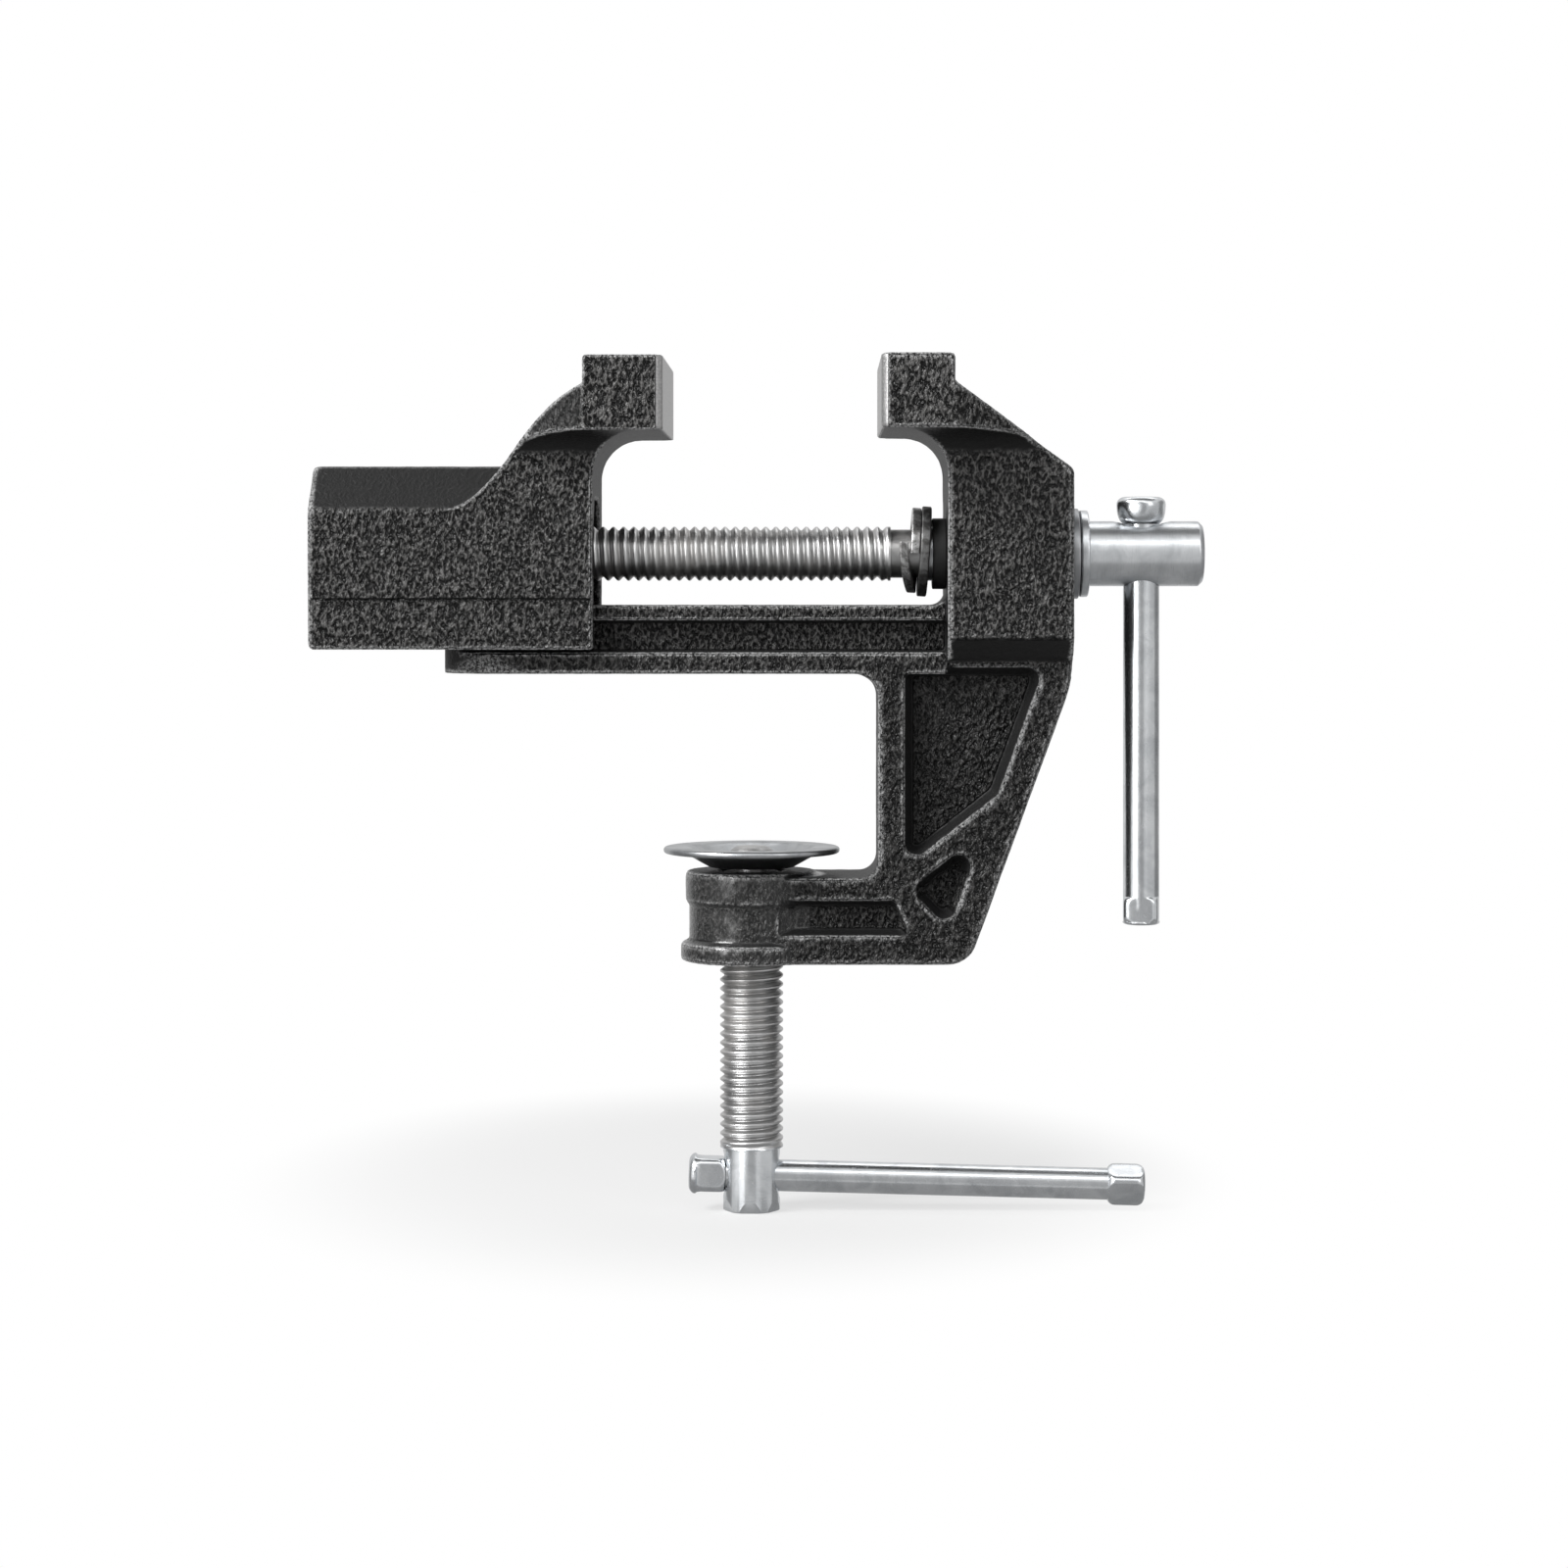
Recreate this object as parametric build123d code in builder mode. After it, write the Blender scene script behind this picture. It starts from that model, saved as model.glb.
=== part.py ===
from build123d import *
from math import cos, radians, sin, tan
import os

# A small bench vise that clamps to the edge of a table.  Lengths in millimetres, angles in degrees.
# X runs along the vise screw towards its handle, Z is up, Y is across the jaws.
# The origin lies on the face that rests on the table, over the axis of the clamp screw.

# ---- driving dimensions ------------------------------------------------------------------
# Jaws
jaw_width = 60.0                # across the grip faces
jaw_face_height = 16.0
jaw_opening = 46.8              # as the vise is shown; it opens to 50
fixed_block_length = 15.8       # grip face to the back of the block
moving_block_length = 17.2
fixed_overhang = 14.7           # grip face to the upright face below it
moving_overhang = 15.8
block_edge_radius = 0.9
fixed_block_lift = 0.5          # the fixed jaw stands this much above the moving one
grip_bevel = 1.4                # ground off the upright edges of each grip face
throat_radius = 9.6             # hollow under each block
neck_height = 8.6               # block underside to the foot of its sweep
sweep_rise = 5.3                # pulls of the curve that sweeps out to the block
sweep_run = 8.0

# Bodies that carry the jaws
body_width = 36.0
fixed_body_length = 27.4
moving_body_length = 61.8
body_edge_radius = 1.3
corner_radius = 2.0             # along the bevels of the bodies
side_top_over_screw = 9.4       # top of the moving body's upright side
body_top_over_screw = 19.1
body_top_width = 18.0           # flat left between the two top bevels
neck_base_over_screw = 17.7
fixed_corner_over_screw = 18.2
fixed_corner_radius = 2.6
fixed_ramp_step = 6.0           # block top down to the straight back
fixed_side_bottom = 8.2         # lower end of the fixed body's upright side
fixed_side_taper = 5.6
ramp_length = 33.2              # moving jaw's curved back, from the body's inner face
ramp_step = 6.1                 # block top down to the curved back
ramp_foot_pull = 12.0
ramp_head_pull = 14.8
ramp_head_drop = 6.1
ramp_crest = 18.4               # where the flare behind the block has died out
parting_step = 0.35             # casting line along the moving body
parting_under_screw = 10.15
lower_draft = 0.65

# Guide bar: a flange with a rail above it
flange_thickness = 4.8
frame_width = 26.0
web_height = 6.9
web_width = 18.0
rail_thickness = 3.35
rail_width = 25.4
guide_reach = 68.0              # clamp axis to the rounded end of the guide bar
rail_foot_radius = 3.2
rail_edge_radius = 0.6
slide_gap = 0.3                 # between the rail and the moving jaw's channel
jaw_lift = 0.6                  # between the flange and the moving jaw

# Moving jaw's channel
channel_side_over_screw = 4.4   # where the roof starts to slope in
channel_top_over_screw = 11.9
channel_top_width = 15.0

# Screw that closes the jaws
screw_over_rail = 11.35
screw_diameter = 12.0
screw_tip_reach = 19.4          # moving jaw's upright face to the screw's tip
screw_tip_chamfer = 1.2
bearing_gap = 0.08              # shaft in its bore, on the radius
groove_diameter = 10.6
groove_length = 4.6
groove_land = 5.4               # groove to the fixed body
collar_diameter = 19.2
collar_thickness = 1.9
head_diameter = 14.4
head_length = 25.4
head_chamfer = 1.2
head_hole_inset = 13.5          # centre of the handle's hole from the head's end

# Rings on the vise screw
washer_diameter = 20.0
washer_bore_gap = 0.45
washer_thickness = 2.1
washer_tilt = 3.7
bush_diameter = 15.7
bush_length = 3.0
thrust_washer_thickness = 2.0
ring_gap = 0.2                  # between rings that turn and rings that don't
ring_bore_gap = 0.3
spring_thickness = 2.0
spring_diameter = 18.8
spring_pitch = 1.5
spring_turn = 0.88              # how much of the circle the split washer covers
spring_bore_gap = 0.15
spring_gap = 0.15               # between the split washer and the flat one

# Drive nut and the two ribs that hold it
nut_length = 10.0
nut_rib = 3.0
nut_rib_inset = 2.2
nut_gap = 0.15
screw_window = 14.0

# Clamp frame below the table face
throat_height = 44.5            # thickest table
throat_depth = 27.8             # clamp axis to the upright
upright_width = 42.6            # throat wall to the frame's back
arm_height = 19.1
throat_top_radius = 5.3
throat_bottom_radius = 4.0
back_slope = 20.1               # the back leans this far from upright
back_corner_drop = 1.3
back_corner_radius = 30.0
heel_radius = 6.5
inner_rib = 5.6
outer_rib = 6.5
arm_top_rib = 4.7
arm_bottom_rib = 6.2
casting_edge_radius = 1.2
rim_radius = 0.6
pocket_draft = 24.0
pocket_depth = 4.4
pocket_radius = 3.0
shelf_drop = 3.1                # flange top down to the upper pocket
shelf_inset = 2.7
shelf_overlap = 2.1
strut_width = 3.8
strut_slope = 38.2
strut_drop = 26.5               # table face down to where the strut meets the back rib
heel_strut_slope = 45.0
heel_strut_gap = 2.83           # throat corner to the triangular pocket
small_pocket_depth = 3.2
small_pocket_radius = 1.8
small_pocket_start = 6.0
small_pocket_overrun = 3.7      # past the throat wall
small_pocket_slope = 64.3

# Boss for the clamp screw
boss_top_diameter = 29.2
boss_waist_diameter = 27.6
boss_foot_diameter = 31.2
boss_rise = 0.8
boss_top_ring = 6.6
boss_foot_ring = 3.8
boss_step = 0.9
boss_edge_radius = 0.8

# Clamp screw and pad
clamp_diameter = 14.0
clamp_thread_length = 59.7
clamp_head_diameter = 12.6
clamp_head_length = 14.3
clamp_tip_chamfer = 1.0
clamp_foot_sides = 10
clamp_foot_width = 10.4
clamp_foot_draft = 24.0
clamp_foot_height = 3.0
clamp_hole_rise = 7.7           # foot to the centre of the handle's hole
clamp_hole_tilt = 1.5
shoulder_depth = 1.3            # boss top down to the screw's shoulder
neck_diameter = 7.4
pad_washer_diameter = 12.0
pad_washer_bore_gap = 0.15
pad_washer_thickness = 1.0
pad_washer_gap = 0.1
pad_clearance = 0.9
pad_sheet = 1.5
pad_hole_gap = 0.5
pad_floor_diameter = 18.6
pad_cone_height = 2.6
pad_cone_diameter = 28.0
pad_diameter = 39.0
pad_rim_lift = 0.4
pad_floor_radius = 0.9
pad_bend_radius = 2.0
pad_edge_radius = 0.6
rivet_diameter = 11.0
rivet_height = 1.5
rivet_gap = 0.7

# Sliding handles
vise_handle_diameter = 8.0
vise_handle_length = 94.8
vise_handle_top_width = 11.1
vise_handle_foot_width = 9.8
vise_handle_turn = -20.0        # of its flats, away from square to the screw
vise_handle_end_length = 6.6
clamp_handle_diameter = 7.0
clamp_handle_length = 101.0
clamp_handle_end_width = 9.3
clamp_handle_turn = 25.0        # of the flats at its outer end
clamp_handle_end_length = 8.4
handle_gap = 0.3                # handle in its hole, on the radius
pinch_ratio = 0.8               # flats across, as a share of the end's width
end_radius = 1.9
mouth_width = 1.7               # flare of a handle's hole at the surface, on the radius
mouth_depth = 2.4
vise_seat_depth = 1.2           # how far a handle's end sinks into that flare
clamp_seat_depth = 0.8

# ---- positions that follow from them -----------------------------------------------------
rail_underside = flange_thickness + web_height
rail_top = rail_underside + rail_thickness
screw_z = rail_top + screw_over_rail
screw_radius = screw_diameter / 2
neck_base = screw_z + neck_base_over_screw
block_bottom = neck_base + neck_height
block_top = block_bottom + jaw_face_height
fixed_block_bottom = block_bottom + fixed_block_lift
fixed_block_top = block_top + fixed_block_lift
half_jaw = jaw_width / 2
bevel_y = half_jaw - grip_bevel
half_body = body_width / 2
half_frame = frame_width / 2
half_web = web_width / 2
half_rail = rail_width / 2

back_x = throat_depth + upright_width
fixed_inner_x = back_x - fixed_body_length
fixed_grip_x = fixed_inner_x - fixed_overhang
fixed_block_back = fixed_grip_x + fixed_block_length
moving_grip_x = fixed_grip_x - jaw_opening
moving_inner_x = moving_grip_x - moving_overhang
moving_block_back = moving_grip_x - moving_block_length
moving_end_x = moving_inner_x - moving_body_length
side_top = screw_z + side_top_over_screw
body_top = screw_z + body_top_over_screw
parting_z = screw_z - parting_under_screw
moving_bottom = flange_thickness + jaw_lift

arm_top = -throat_height
arm_bottom = arm_top - arm_height
boss_top = arm_top + boss_rise

shoulder_z = boss_top - shoulder_depth
pad_washer_z = shoulder_z + pad_washer_gap
pad_bottom = pad_washer_z + pad_washer_thickness + pad_clearance
pad_rim_z = pad_bottom + pad_cone_height + pad_rim_lift
rivet_z = pad_bottom + pad_sheet + rivet_gap
clamp_head_top = shoulder_z - clamp_thread_length
clamp_foot = clamp_head_top - clamp_head_length
clamp_hole_z = clamp_foot + clamp_hole_rise

collar_x = back_x + thrust_washer_thickness + ring_gap
head_x = collar_x + collar_thickness
head_end = head_x + head_length
head_hole_x = head_end - head_hole_inset
bush_x = fixed_inner_x - bush_length
groove_end = fixed_inner_x - groove_land
groove_start = groove_end - groove_length
tip_x = moving_inner_x - screw_tip_reach

screw_axis = Axis((0, 0, screw_z), (1, 0, 0))
across_screw = Plane(origin=(0, 0, screw_z), x_dir=(0, 1, 0), z_dir=(1, 0, 0))


# ---- shapes that are used more than once -------------------------------------------------
def closed_face(*corners):
    """Flat face round a loop of corners, each given as (x, y, radius)."""
    points = [(x, y) for x, y, _ in corners]
    radii = [radius for _, _, radius in corners]
    with BuildSketch() as flat:
        with BuildLine():
            FilletPolyline(*points, radius=radii, close=True)
        make_face()
    return flat.sketch


def mirrored_face(*corners):
    """Face with equal left and right halves; corners (x, y, radius) run up its right side."""
    left = [(-x, y, radius) for x, y, radius in reversed(corners)]
    return closed_face(*corners, *left)


def crossing(point_a, angle_a, point_b, angle_b):
    """Where two lines meet, each given by a point on it and its angle from the X axis."""
    ax, ay = cos(radians(angle_a)), sin(radians(angle_a))
    bx, by = cos(radians(angle_b)), sin(radians(angle_b))
    gap_x, gap_y = point_b[0] - point_a[0], point_b[1] - point_a[1]
    along = (gap_x * by - gap_y * bx) / (ax * by - ay * bx)
    return point_a[0] + along * ax, point_a[1] + along * ay


def beside(point, angle, distance):
    """The point moved square to a line at this angle, to the right of its direction."""
    return (point[0] + distance * sin(radians(angle)), point[1] - distance * cos(radians(angle)))


def side_slab(face, width):
    """A face in the XZ plane, thickened evenly to both sides."""
    with BuildPart() as slab:
        with BuildSketch(Plane.XZ):
            add(face)
        extrude(amount=width / 2, both=True)
    return slab.part


def section_slab(face, start_x, length):
    """A face in the YZ plane, extruded along X."""
    with BuildPart() as slab:
        with BuildSketch(Plane.YZ.offset(start_x)):
            add(face)
        extrude(amount=length)
    return slab.part


def plan_slab(face, bottom, height):
    """A face in the XY plane, extruded upwards."""
    with BuildPart() as slab:
        with BuildSketch(Plane.XY.offset(bottom)):
            add(face)
        extrude(amount=height)
    return slab.part


def flared_head(side_face, plan_face, underside, top):
    """Upper part of a jaw: narrow at the neck, with a hollow sweep out to the wide block."""
    with BuildPart() as head:
        with BuildSketch(Plane.XZ):
            add(side_face)
        extrude(amount=half_jaw, both=True)
        with BuildSketch(Plane.XY.offset(neck_base)):
            add(plan_face)
        extrude(amount=top - neck_base, mode=Mode.INTERSECT)
        with BuildSketch(Plane.YZ.offset(moving_end_x)):
            with BuildLine():
                sweep_out = Bezier((half_body, neck_base), (half_body, neck_base + sweep_rise),
                                   (half_jaw - sweep_run, underside), (half_jaw, underside))
                Polyline(sweep_out @ 1, (half_jaw, top), (-half_jaw, top),
                         (-half_jaw, underside))
                Bezier((-half_jaw, underside), (sweep_run - half_jaw, underside),
                       (-half_body, neck_base + sweep_rise), (-half_body, neck_base))
                Line((-half_body, neck_base), sweep_out @ 0)
            make_face()
        extrude(amount=back_x - moving_end_x, mode=Mode.INTERSECT)
    return head.part


def sunk_pockets(face, depth):
    """Matching recesses in both sides of the frame, closing in as they go deeper."""
    with BuildPart() as cutter:
        with BuildSketch(Plane.XZ.offset(half_frame)):
            add(face)
        extrude(amount=-depth, taper=pocket_draft)
        mirror(about=Plane.XZ)
    return cutter.part


def side_edges(frame):
    """Edges that lie in the clamp frame's two flat sides."""
    edges = frame.edges()
    near = edges.filter_by_position(Axis.Y, -half_frame, -half_frame)
    return near + edges.filter_by_position(Axis.Y, half_frame, half_frame)


def ring_on_screw(start_x, thickness, outer_radius, inner_radius):
    """Flat ring whose axis is the vise screw's."""
    with BuildPart() as ring:
        with BuildSketch(across_screw.offset(start_x)):
            Circle(outer_radius)
            Circle(inner_radius, mode=Mode.SUBTRACT)
        extrude(amount=thickness)
    return ring.part


def handle_hole(plane, radius, reach):
    """Cross hole for a handle, flared where it leaves the head on both sides."""
    with BuildPart() as cutter:
        with BuildSketch(plane):
            Circle(radius)
        extrude(amount=reach + mouth_depth, both=True)
        for side in (1, -1):
            with BuildSketch(plane.offset(side * (reach - mouth_depth))):
                Circle(radius)
            with BuildSketch(plane.offset(side * (reach + mouth_depth))):
                Circle(radius + 2 * mouth_width)
            loft()
    return cutter.part


def pinched_end(plane, width, length, turn):
    """Upset end of a handle: round, with four flats squeezed into it."""
    with BuildPart() as end:
        with BuildSketch(plane):
            Circle(width / 2)
        extrude(amount=length)
        fillet(end.edges().filter_by(GeomType.CIRCLE), end_radius)
        with BuildSketch(plane):
            Rectangle(width * pinch_ratio, width * pinch_ratio, rotation=turn)
        extrude(amount=length, mode=Mode.INTERSECT)
    return end.part


def sliding_handle(plane, diameter, length, end_length, first_end, last_end):
    """Round bar along the plane's normal; each end is given as its width and turn."""
    with BuildPart() as bar:
        with BuildSketch(plane.offset(end_length / 2)):
            Circle(diameter / 2)
        extrude(amount=length - end_length)
        for start, (width, turn) in ((0, first_end), (length - end_length, last_end)):
            add(pinched_end(plane.offset(start), width, end_length, turn))
    return bar.part


os.makedirs("parts", exist_ok=True)

# ---- frame casting: fixed jaw, guide bar and clamp frame in one --------------------------
back_angle = 90 - back_slope
back_corner = (back_x, -back_corner_drop)
heel_corner = crossing(back_corner, back_angle, (0, arm_bottom), 0)
clamp_side = closed_face(
    (0, arm_bottom, 0),
    (*heel_corner, heel_radius),
    (*back_corner, back_corner_radius),
    (back_x, fixed_side_bottom, 0),
    (fixed_inner_x, fixed_side_bottom, 0),
    (fixed_inner_x, flange_thickness, 0),
    (0, flange_thickness, 0),
    (0, 0, 0),
    (throat_depth, 0, throat_top_radius),
    (throat_depth, arm_top, throat_bottom_radius),
    (0, arm_top, 0),
)

# Pockets: a large one above the strut, a triangle below it and a long one in the arm
inner_rib_x = throat_depth + inner_rib
shelf_z = flange_thickness - shelf_drop
rim_line = beside(back_corner, back_angle, -outer_rib)
strut_end = crossing(rim_line, back_angle, (0, -strut_drop), 0)
upper_pocket = closed_face(
    (inner_rib_x, shelf_z, pocket_radius),
    (*crossing(rim_line, back_angle, (0, shelf_z), 0), pocket_radius),
    (*strut_end, pocket_radius),
    (*crossing(strut_end, strut_slope, (inner_rib_x, 0), 90), pocket_radius),
)
under_strut = beside(strut_end, strut_slope, strut_width)
heel_line = beside((throat_depth, arm_top), -heel_strut_slope, -heel_strut_gap)
triangle_pocket = closed_face(
    (*crossing(under_strut, strut_slope, rim_line, back_angle), pocket_radius),
    (*crossing(under_strut, strut_slope, heel_line, -heel_strut_slope), pocket_radius),
    (*crossing(heel_line, -heel_strut_slope, rim_line, back_angle), pocket_radius),
)
small_pocket_top = arm_top - arm_top_rib
small_pocket_bottom = arm_bottom + arm_bottom_rib
small_pocket_end = (throat_depth + small_pocket_overrun, small_pocket_top)
small_pocket = closed_face(
    (small_pocket_start, small_pocket_top, 0),
    (*small_pocket_end, small_pocket_radius),
    (*crossing(small_pocket_end, -small_pocket_slope, (0, small_pocket_bottom), 0),
     small_pocket_radius),
    (small_pocket_start, small_pocket_bottom, 0),
)

# Jaw and body, seen from the side and from above
fixed_side = closed_face(
    (fixed_inner_x, fixed_side_bottom - fixed_side_taper, 0),
    (back_x, fixed_side_bottom - fixed_side_taper, 0),
    (back_x, screw_z + fixed_corner_over_screw, fixed_corner_radius),
    (fixed_block_back, fixed_block_top - fixed_ramp_step, 0),
    (fixed_block_back, fixed_block_top, block_edge_radius),
    (fixed_grip_x, fixed_block_top, 0),
    (fixed_grip_x, fixed_block_bottom, 0),
    (fixed_inner_x, fixed_block_bottom, throat_radius),
)
fixed_plan = closed_face(
    (fixed_grip_x, -bevel_y, 0),
    (fixed_grip_x + grip_bevel, -half_jaw, 0),
    (fixed_block_back, -half_jaw, 0),
    (back_x, -half_body, 0),
    (back_x, half_body, 0),
    (fixed_block_back, half_jaw, 0),
    (fixed_grip_x + grip_bevel, half_jaw, 0),
    (fixed_grip_x, bevel_y, 0),
)
fixed_section = mirrored_face(
    (half_frame, fixed_side_bottom - fixed_side_taper, 0),
    (half_body, fixed_side_bottom, corner_radius),
    (half_body, fixed_block_top, 0),
)
guide_section = mirrored_face(
    (half_frame, 0, 0),
    (half_frame, flange_thickness, rail_edge_radius),
    (half_web, flange_thickness, rail_edge_radius),
    (half_web, rail_underside, rail_edge_radius),
    (half_rail, rail_underside, rail_edge_radius),
    (half_rail, rail_top, rail_edge_radius),
)

body_plan = closed_face(
    (fixed_inner_x - throat_radius, -half_body, 0),
    (back_x, -half_body, body_edge_radius),
    (back_x, half_body, body_edge_radius),
    (fixed_inner_x - throat_radius, half_body, 0),
)
guide_end_x = half_frame - guide_reach
with BuildSketch() as guide_plan:
    with Locations((guide_end_x, 0)):
        Circle(half_frame)
        Rectangle(fixed_inner_x - guide_end_x, frame_width, align=(Align.MIN, Align.CENTER))

# Pieces that are joined below
pocket_cutters = [
    sunk_pockets(upper_pocket, pocket_depth),
    sunk_pockets(triangle_pocket, pocket_depth),
    sunk_pockets(small_pocket, small_pocket_depth),
]
fixed_head = flared_head(fixed_side, fixed_plan, fixed_block_bottom, fixed_block_top)
body_slab = side_slab(fixed_side, body_width)
body_cheeks = section_slab(fixed_section, fixed_inner_x - throat_radius, fixed_body_length + throat_radius)
guide_slab = plan_slab(guide_plan.sketch, 0, rail_top)

with BuildPart() as fixed_body:
    add(body_cheeks)
    add(body_slab, mode=Mode.INTERSECT)
    add(plan_slab(body_plan, 0, fixed_block_top), mode=Mode.INTERSECT)

with BuildPart() as guide_bar:
    with BuildSketch(Plane.YZ.offset(-guide_reach)):
        add(guide_section)
    extrude(amount=guide_reach + fixed_inner_x)
    add(guide_slab, mode=Mode.INTERSECT)

with BuildPart() as boss:
    with BuildSketch(Plane.XZ):
        waist_top = boss_top - boss_top_ring
        waist_bottom = arm_bottom + boss_foot_ring
        with BuildLine():
            FilletPolyline(
                (0, arm_bottom),
                (boss_foot_diameter / 2, arm_bottom),
                (boss_foot_diameter / 2, waist_bottom),
                (boss_waist_diameter / 2, waist_bottom + boss_step),
                (boss_waist_diameter / 2, waist_top - boss_step),
                (boss_top_diameter / 2, waist_top),
                (boss_top_diameter / 2, boss_top),
                (0, boss_top),
                radius=[boss_edge_radius, boss_edge_radius, 0, 0, boss_edge_radius,
                        boss_edge_radius],
            )
            Line((0, boss_top), (0, arm_bottom))
        make_face()
    revolve(axis=Axis.Z)

with BuildPart() as clamp_frame:
    with BuildSketch(Plane.XZ):
        add(clamp_side)
    extrude(amount=half_frame, both=True)
    outline = [edge.center() for edge in side_edges(clamp_frame)]
    for cutter in pocket_cutters:
        add(cutter, mode=Mode.SUBTRACT)
    rims = [edge for edge in side_edges(clamp_frame) if edge.center() not in outline]
    fillet(rims, rim_radius)
    outer = side_edges(clamp_frame).filter_by_position(Axis.Z, arm_bottom, 0)
    fillet([edge for edge in outer if edge.center() in outline], casting_edge_radius)

with BuildPart() as frame_casting:
    add(clamp_frame.part)
    # the recess between flange and rail runs down into the upper pocket
    for side in (1, -1):
        with Locations((inner_rib_x, side * half_frame, shelf_z - shelf_overlap)):
            Box(shelf_inset, 2 * (half_frame - half_web), flange_thickness - shelf_z + shelf_overlap,
                align=(Align.MIN, Align.CENTER, Align.MIN), mode=Mode.SUBTRACT)
    add(fixed_body.part)
    add(fixed_head)
    add(guide_bar.part)
    add(boss.part)
    # hollow between the rail and the fixed body
    with BuildSketch(Plane.XZ):
        with BuildLine():
            foot = (fixed_inner_x, rail_top)
            CenterArc((foot[0] - rail_foot_radius, foot[1] + rail_foot_radius), rail_foot_radius, 270, 90)
            Polyline((foot[0], foot[1] + rail_foot_radius), foot, (foot[0] - rail_foot_radius, foot[1]))
        make_face()
    extrude(amount=half_rail, both=True)
    # bores for the two screws
    with BuildSketch(across_screw.offset(fixed_grip_x)):
        Circle(screw_radius + bearing_gap)
    extrude(amount=back_x - fixed_grip_x, mode=Mode.SUBTRACT)
    with BuildSketch(Plane.XY.offset(arm_bottom)):
        Circle(clamp_diameter / 2 + bearing_gap)
    extrude(amount=arm_height + boss_rise, mode=Mode.SUBTRACT)

    corners = frame_casting.edges().filter_by(Axis.Z).filter_by_position(Axis.X, fixed_inner_x, fixed_inner_x)
    fillet(corners.filter_by_position(Axis.Z, fixed_side_bottom, neck_base), body_edge_radius)

frame_casting.part.label = "frame_casting"
export_step(frame_casting.part, "parts/frame_casting.step")

# ---- moving jaw: a channel that rides over the rail --------------------------------------
moving_section = mirrored_face(
    (half_body - parting_step - lower_draft, moving_bottom, rail_edge_radius),
    (half_body - parting_step, parting_z, 0),
    (half_body, parting_z, 0),
    (half_body, side_top, corner_radius),
    (body_top_width / 2, body_top, corner_radius),
)
half_slot = half_web + slide_gap
half_channel = half_rail + slide_gap
lip_top = rail_underside - slide_gap
roof_side = screw_z + channel_side_over_screw
roof_top = screw_z + channel_top_over_screw
channel_section = mirrored_face(
    (half_slot, moving_bottom - jaw_lift, 0),
    (half_slot, lip_top, 0),
    (half_channel, lip_top, rail_edge_radius),
    (half_channel, roof_side, corner_radius),
    (channel_top_width / 2, roof_top, corner_radius),
)
nut_seat_section = mirrored_face(
    (half_channel, rail_top + slide_gap, 0),
    (half_channel, roof_side, corner_radius),
    (channel_top_width / 2, roof_top, corner_radius),
)
ramp_foot = (moving_inner_x - ramp_length, side_top)
ramp_head = (moving_block_back, block_top - ramp_step)
with BuildSketch() as moving_side:
    with BuildLine():
        FilletPolyline((moving_inner_x, parting_z), (moving_inner_x, block_bottom),
                       (moving_grip_x, block_bottom), (moving_grip_x, block_top),
                       (moving_block_back, block_top), ramp_head,
                       radius=[throat_radius, 0, 0, block_edge_radius])
        Bezier(ramp_head, (ramp_head[0] - ramp_head_pull, ramp_head[1] - ramp_head_drop),
               (ramp_foot[0] + ramp_foot_pull, ramp_foot[1]), ramp_foot)
        Polyline(ramp_foot, (ramp_foot[0], parting_z), (moving_inner_x, parting_z))
    make_face()
crest_x = moving_block_back - ramp_crest
moving_plan = closed_face(
    (moving_grip_x, -bevel_y, 0),
    (moving_grip_x, bevel_y, 0),
    (moving_grip_x - grip_bevel, half_jaw, 0),
    (moving_block_back, half_jaw, 0),
    (crest_x, half_body, 0),
    (ramp_foot[0], half_body, 0),
    (ramp_foot[0], -half_body, 0),
    (crest_x, -half_body, 0),
    (moving_block_back, -half_jaw, 0),
    (moving_grip_x - grip_bevel, -half_jaw, 0),
)
nut_rib_x = moving_inner_x - nut_rib_inset - nut_rib
nut_x = nut_rib_x - nut_length

jaw_web = side_slab(moving_side.sketch, body_width)
moving_head = flared_head(moving_side.sketch, moving_plan, block_bottom, block_top)

with BuildPart() as moving_jaw:
    with BuildSketch(Plane.YZ.offset(moving_end_x)):
        add(moving_section)
    extrude(amount=moving_body_length)
    add(jaw_web)
    add(moving_head)
    with BuildSketch(Plane.YZ.offset(moving_end_x)):
        add(channel_section)
    extrude(amount=moving_body_length, mode=Mode.SUBTRACT)
    # ribs before and behind the nut, each with a window for the screw
    for rib_x in (nut_rib_x, nut_x - nut_rib):
        with BuildSketch(Plane.YZ.offset(rib_x)):
            add(nut_seat_section)
            with Locations((0, screw_z)):
                Circle(screw_window / 2, mode=Mode.SUBTRACT)
        extrude(amount=nut_rib)

    # soften the outer edges of the open rear end and of the face towards the other jaw
    wide = half_channel + corner_radius
    high = roof_top + corner_radius
    rear = moving_jaw.edges().filter_by_position(Axis.X, moving_end_x, moving_end_x)
    front = moving_jaw.edges().filter_by_position(Axis.X, moving_inner_x, moving_inner_x)
    softened = [edge for edge in front if abs(edge.center().Y) > wide]
    softened += [edge for edge in rear if abs(edge.center().Y) > wide or edge.center().Z > high]
    fillet(softened, casting_edge_radius)

moving_jaw.part.label = "moving_jaw"
export_step(moving_jaw.part, "parts/moving_jaw.step")

# ---- drive nut: a block held between the two ribs ----------------------------------------
with BuildPart() as drive_nut:
    with BuildSketch(Plane.YZ.offset(nut_x + nut_gap)):
        offset(nut_seat_section, amount=-nut_gap, kind=Kind.INTERSECTION)
        with Locations((0, screw_z)):
            Circle(screw_radius + bearing_gap, mode=Mode.SUBTRACT)
    extrude(amount=nut_length - 2 * nut_gap)

drive_nut.part.label = "drive_nut"
export_step(drive_nut.part, "parts/drive_nut.step")

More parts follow.
